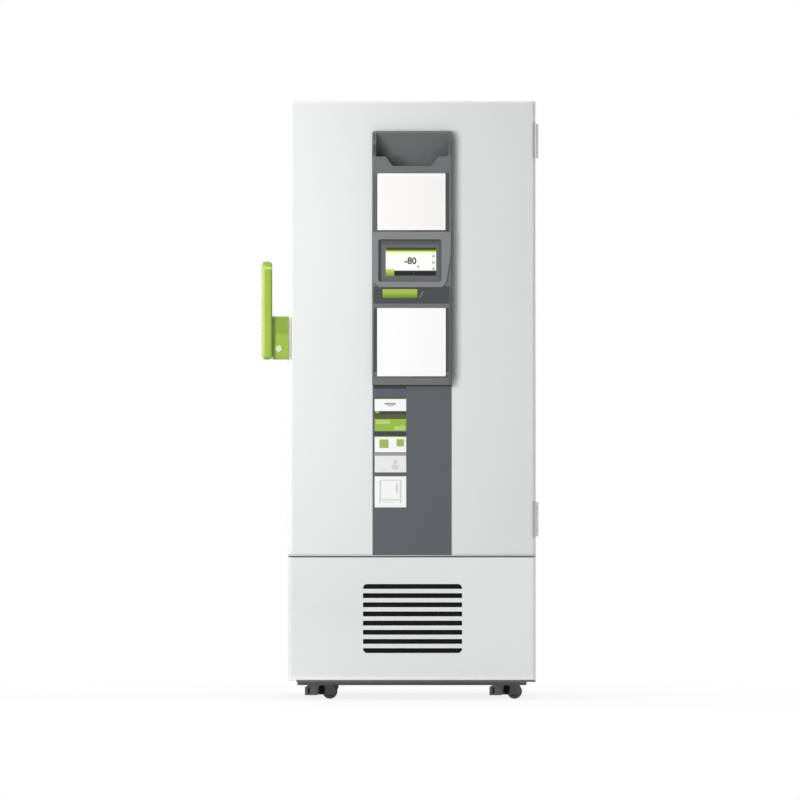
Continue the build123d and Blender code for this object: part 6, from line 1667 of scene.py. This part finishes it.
@dataclass
class Studio:
    """Pale floor, soft lights, white surroundings and the camera."""

    distance: float = 40.0
    frame_width: float = 2.644
    centre_x: float = -0.0008
    centre_z: float = 0.9905
    sensor: float = 36.0
    floor_radius: float = 60.0
    ambient: float = 0.355

    def build(self, shop: Paintshop, front: float) -> None:
        """Set up floor, lights, world and camera.

        Args:
            shop: The paint shop, for its effects.
            front: Depth of the object's front plane.
        """
        self._floor()
        self._world()
        self._lamp("key", Vector((-2.1, -3.4, 2.5)), Vector((0.0, -0.5, 1.1)), 1.8, 43.0)
        self._lamp("rake", Vector((-1.9, -2.1, 1.65)), Vector((0.0, -0.5, 1.1)), 0.6, 29.0)
        self._lamp("side", Vector((3.6, 1.4, 2.2)), Vector((0.3, 0.0, 1.0)), 2.4, 66.0)
        self._lamp("top", Vector((0.2, 0.2, 4.6)), Vector((0.0, 0.0, 1.0)), 2.4, 30.0)
        self._lamp("back", Vector((-0.9, 4.6, 2.6)), Vector((0.0, 0.4, 1.0)), 2.6, 72.0)
        self._camera(front)
        scene = bpy.context.scene
        scene.view_settings.view_transform = "Standard"
        LOG.info("studio ready, effects %d", len(shop.effects.relief))

    def _camera(self, front: float) -> None:
        """Place the camera square to the front at the photograph's framing."""
        bpy.ops.object.camera_add(location=(self.centre_x, front - self.distance, self.centre_z),
                                  rotation=(math.pi / 2, 0, 0))
        camera = bpy.context.object
        camera.name = "camera"
        camera.data.sensor_width = self.sensor
        camera.data.lens = self.sensor * self.distance / self.frame_width
        camera.data.clip_end = 200
        bpy.context.scene.camera = camera

    @staticmethod
    def _lamp(name: str, place: Vector, target: Vector, size: float, power: float) -> None:
        """Add a soft square lamp aimed at a point."""
        bpy.ops.object.light_add(type="AREA", location=place)
        lamp = bpy.context.object
        lamp.name = name + "_lamp"
        lamp.rotation_euler = (target - place).to_track_quat("-Z", "Y").to_euler()
        lamp.data.shape = "SQUARE"
        lamp.data.size = size
        lamp.data.energy = power
        lamp.visible_camera = False

    @staticmethod
    def _seen(tree: bpy.types.NodeTree) -> bpy.types.NodeSocket:
        """A socket that is 1 for what the camera, mirrors and glass see."""
        path = tree.nodes.new("ShaderNodeLightPath")
        total = path.outputs["Is Camera Ray"]
        for name in ("Is Glossy Ray", "Is Transmission Ray"):
            larger = tree.nodes.new("ShaderNodeMath")
            larger.operation = "MAXIMUM"
            tree.links.new(total, larger.inputs[0])
            tree.links.new(path.outputs[name], larger.inputs[1])
            total = larger.outputs[0]
        return total

    def _world(self) -> None:
        """White surroundings to look at, plain soft light to be lit by."""
        world = bpy.data.worlds.new("surroundings")
        bpy.context.scene.world = world
        world.use_nodes = True
        tree = world.node_tree
        tree.nodes.clear()
        out = tree.nodes.new("ShaderNodeOutputWorld")
        mix = tree.nodes.new("ShaderNodeMixShader")
        light = tree.nodes.new("ShaderNodeBackground")
        light.inputs["Color"].default_value = (1.0, 1.0, 1.0, 1.0)
        light.inputs["Strength"].default_value = self.ambient
        white = tree.nodes.new("ShaderNodeBackground")
        white.inputs["Color"].default_value = (1.0, 1.0, 1.0, 1.0)
        white.inputs["Strength"].default_value = 1.0
        tree.links.new(self._seen(tree), mix.inputs["Fac"])
        tree.links.new(light.outputs[0], mix.inputs[1])
        tree.links.new(white.outputs[0], mix.inputs[2])
        tree.links.new(mix.outputs[0], out.inputs["Surface"])

    def _floor(self) -> None:
        """A pale floor that keeps the object's shadow and is white further out."""
        Bench.clear()
        bpy.ops.mesh.primitive_circle_add(vertices=96, radius=self.floor_radius, fill_type="NGON")
        floor = bpy.context.object
        floor.name = "studio_floor"
        made = bpy.data.materials.new("floor_white")
        made.use_nodes = True
        tree = made.node_tree
        tree.nodes.clear()
        put, join = tree.nodes.new, tree.links.new
        out = put("ShaderNodeOutputMaterial")
        matt = put("ShaderNodeBsdfPrincipled")
        matt.inputs["Base Color"].default_value = (0.82, 0.82, 0.82, 1.0)
        matt.inputs["Roughness"].default_value = 0.9
        glow = put("ShaderNodeEmission")
        mix = put("ShaderNodeMixShader")
        place = put("ShaderNodeTexCoord")
        reach = put("ShaderNodeVectorMath")
        reach.operation = "LENGTH"
        join(place.outputs["Object"], reach.inputs[0])
        fade = put("ShaderNodeMapRange")
        fade.interpolation_type = "SMOOTHSTEP"
        fade.inputs["From Min"].default_value = 0.6
        fade.inputs["From Max"].default_value = 2.2
        fade.inputs["To Min"].default_value = 0.84
        join(reach.outputs["Value"], fade.inputs["Value"])
        shown = put("ShaderNodeMath")
        shown.operation = "MULTIPLY"
        join(self._seen(tree), shown.inputs[0])
        join(fade.outputs["Result"], shown.inputs[1])
        join(shown.outputs[0], mix.inputs["Fac"])
        join(matt.outputs[0], mix.inputs[1])
        join(glow.outputs[0], mix.inputs[2])
        join(mix.outputs[0], out.inputs["Surface"])
        floor.data.materials.append(made)


def main() -> None:
    """Load the frame, dress it, add the new pieces and note the sizes."""
    logging.basicConfig(level=logging.INFO, format="%(name)s %(message)s")
    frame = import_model()
    nodes = frame["nodes"]
    shop = Paintshop()
    kit = Kit(shop)
    Studio().build(shop, Box.of("control_column").low.y)
    for assembly in (Cabinet(), ColdBox(), MainDoor(), ControlColumn(), SideLatch(), MachineBay(), Casters()):
        assembly.build(kit, nodes)
        LOG.info("built %s", type(assembly).__name__)
    LOG.info("%d new pieces", len(kit.made))


if __name__ == "__main__":
    main()
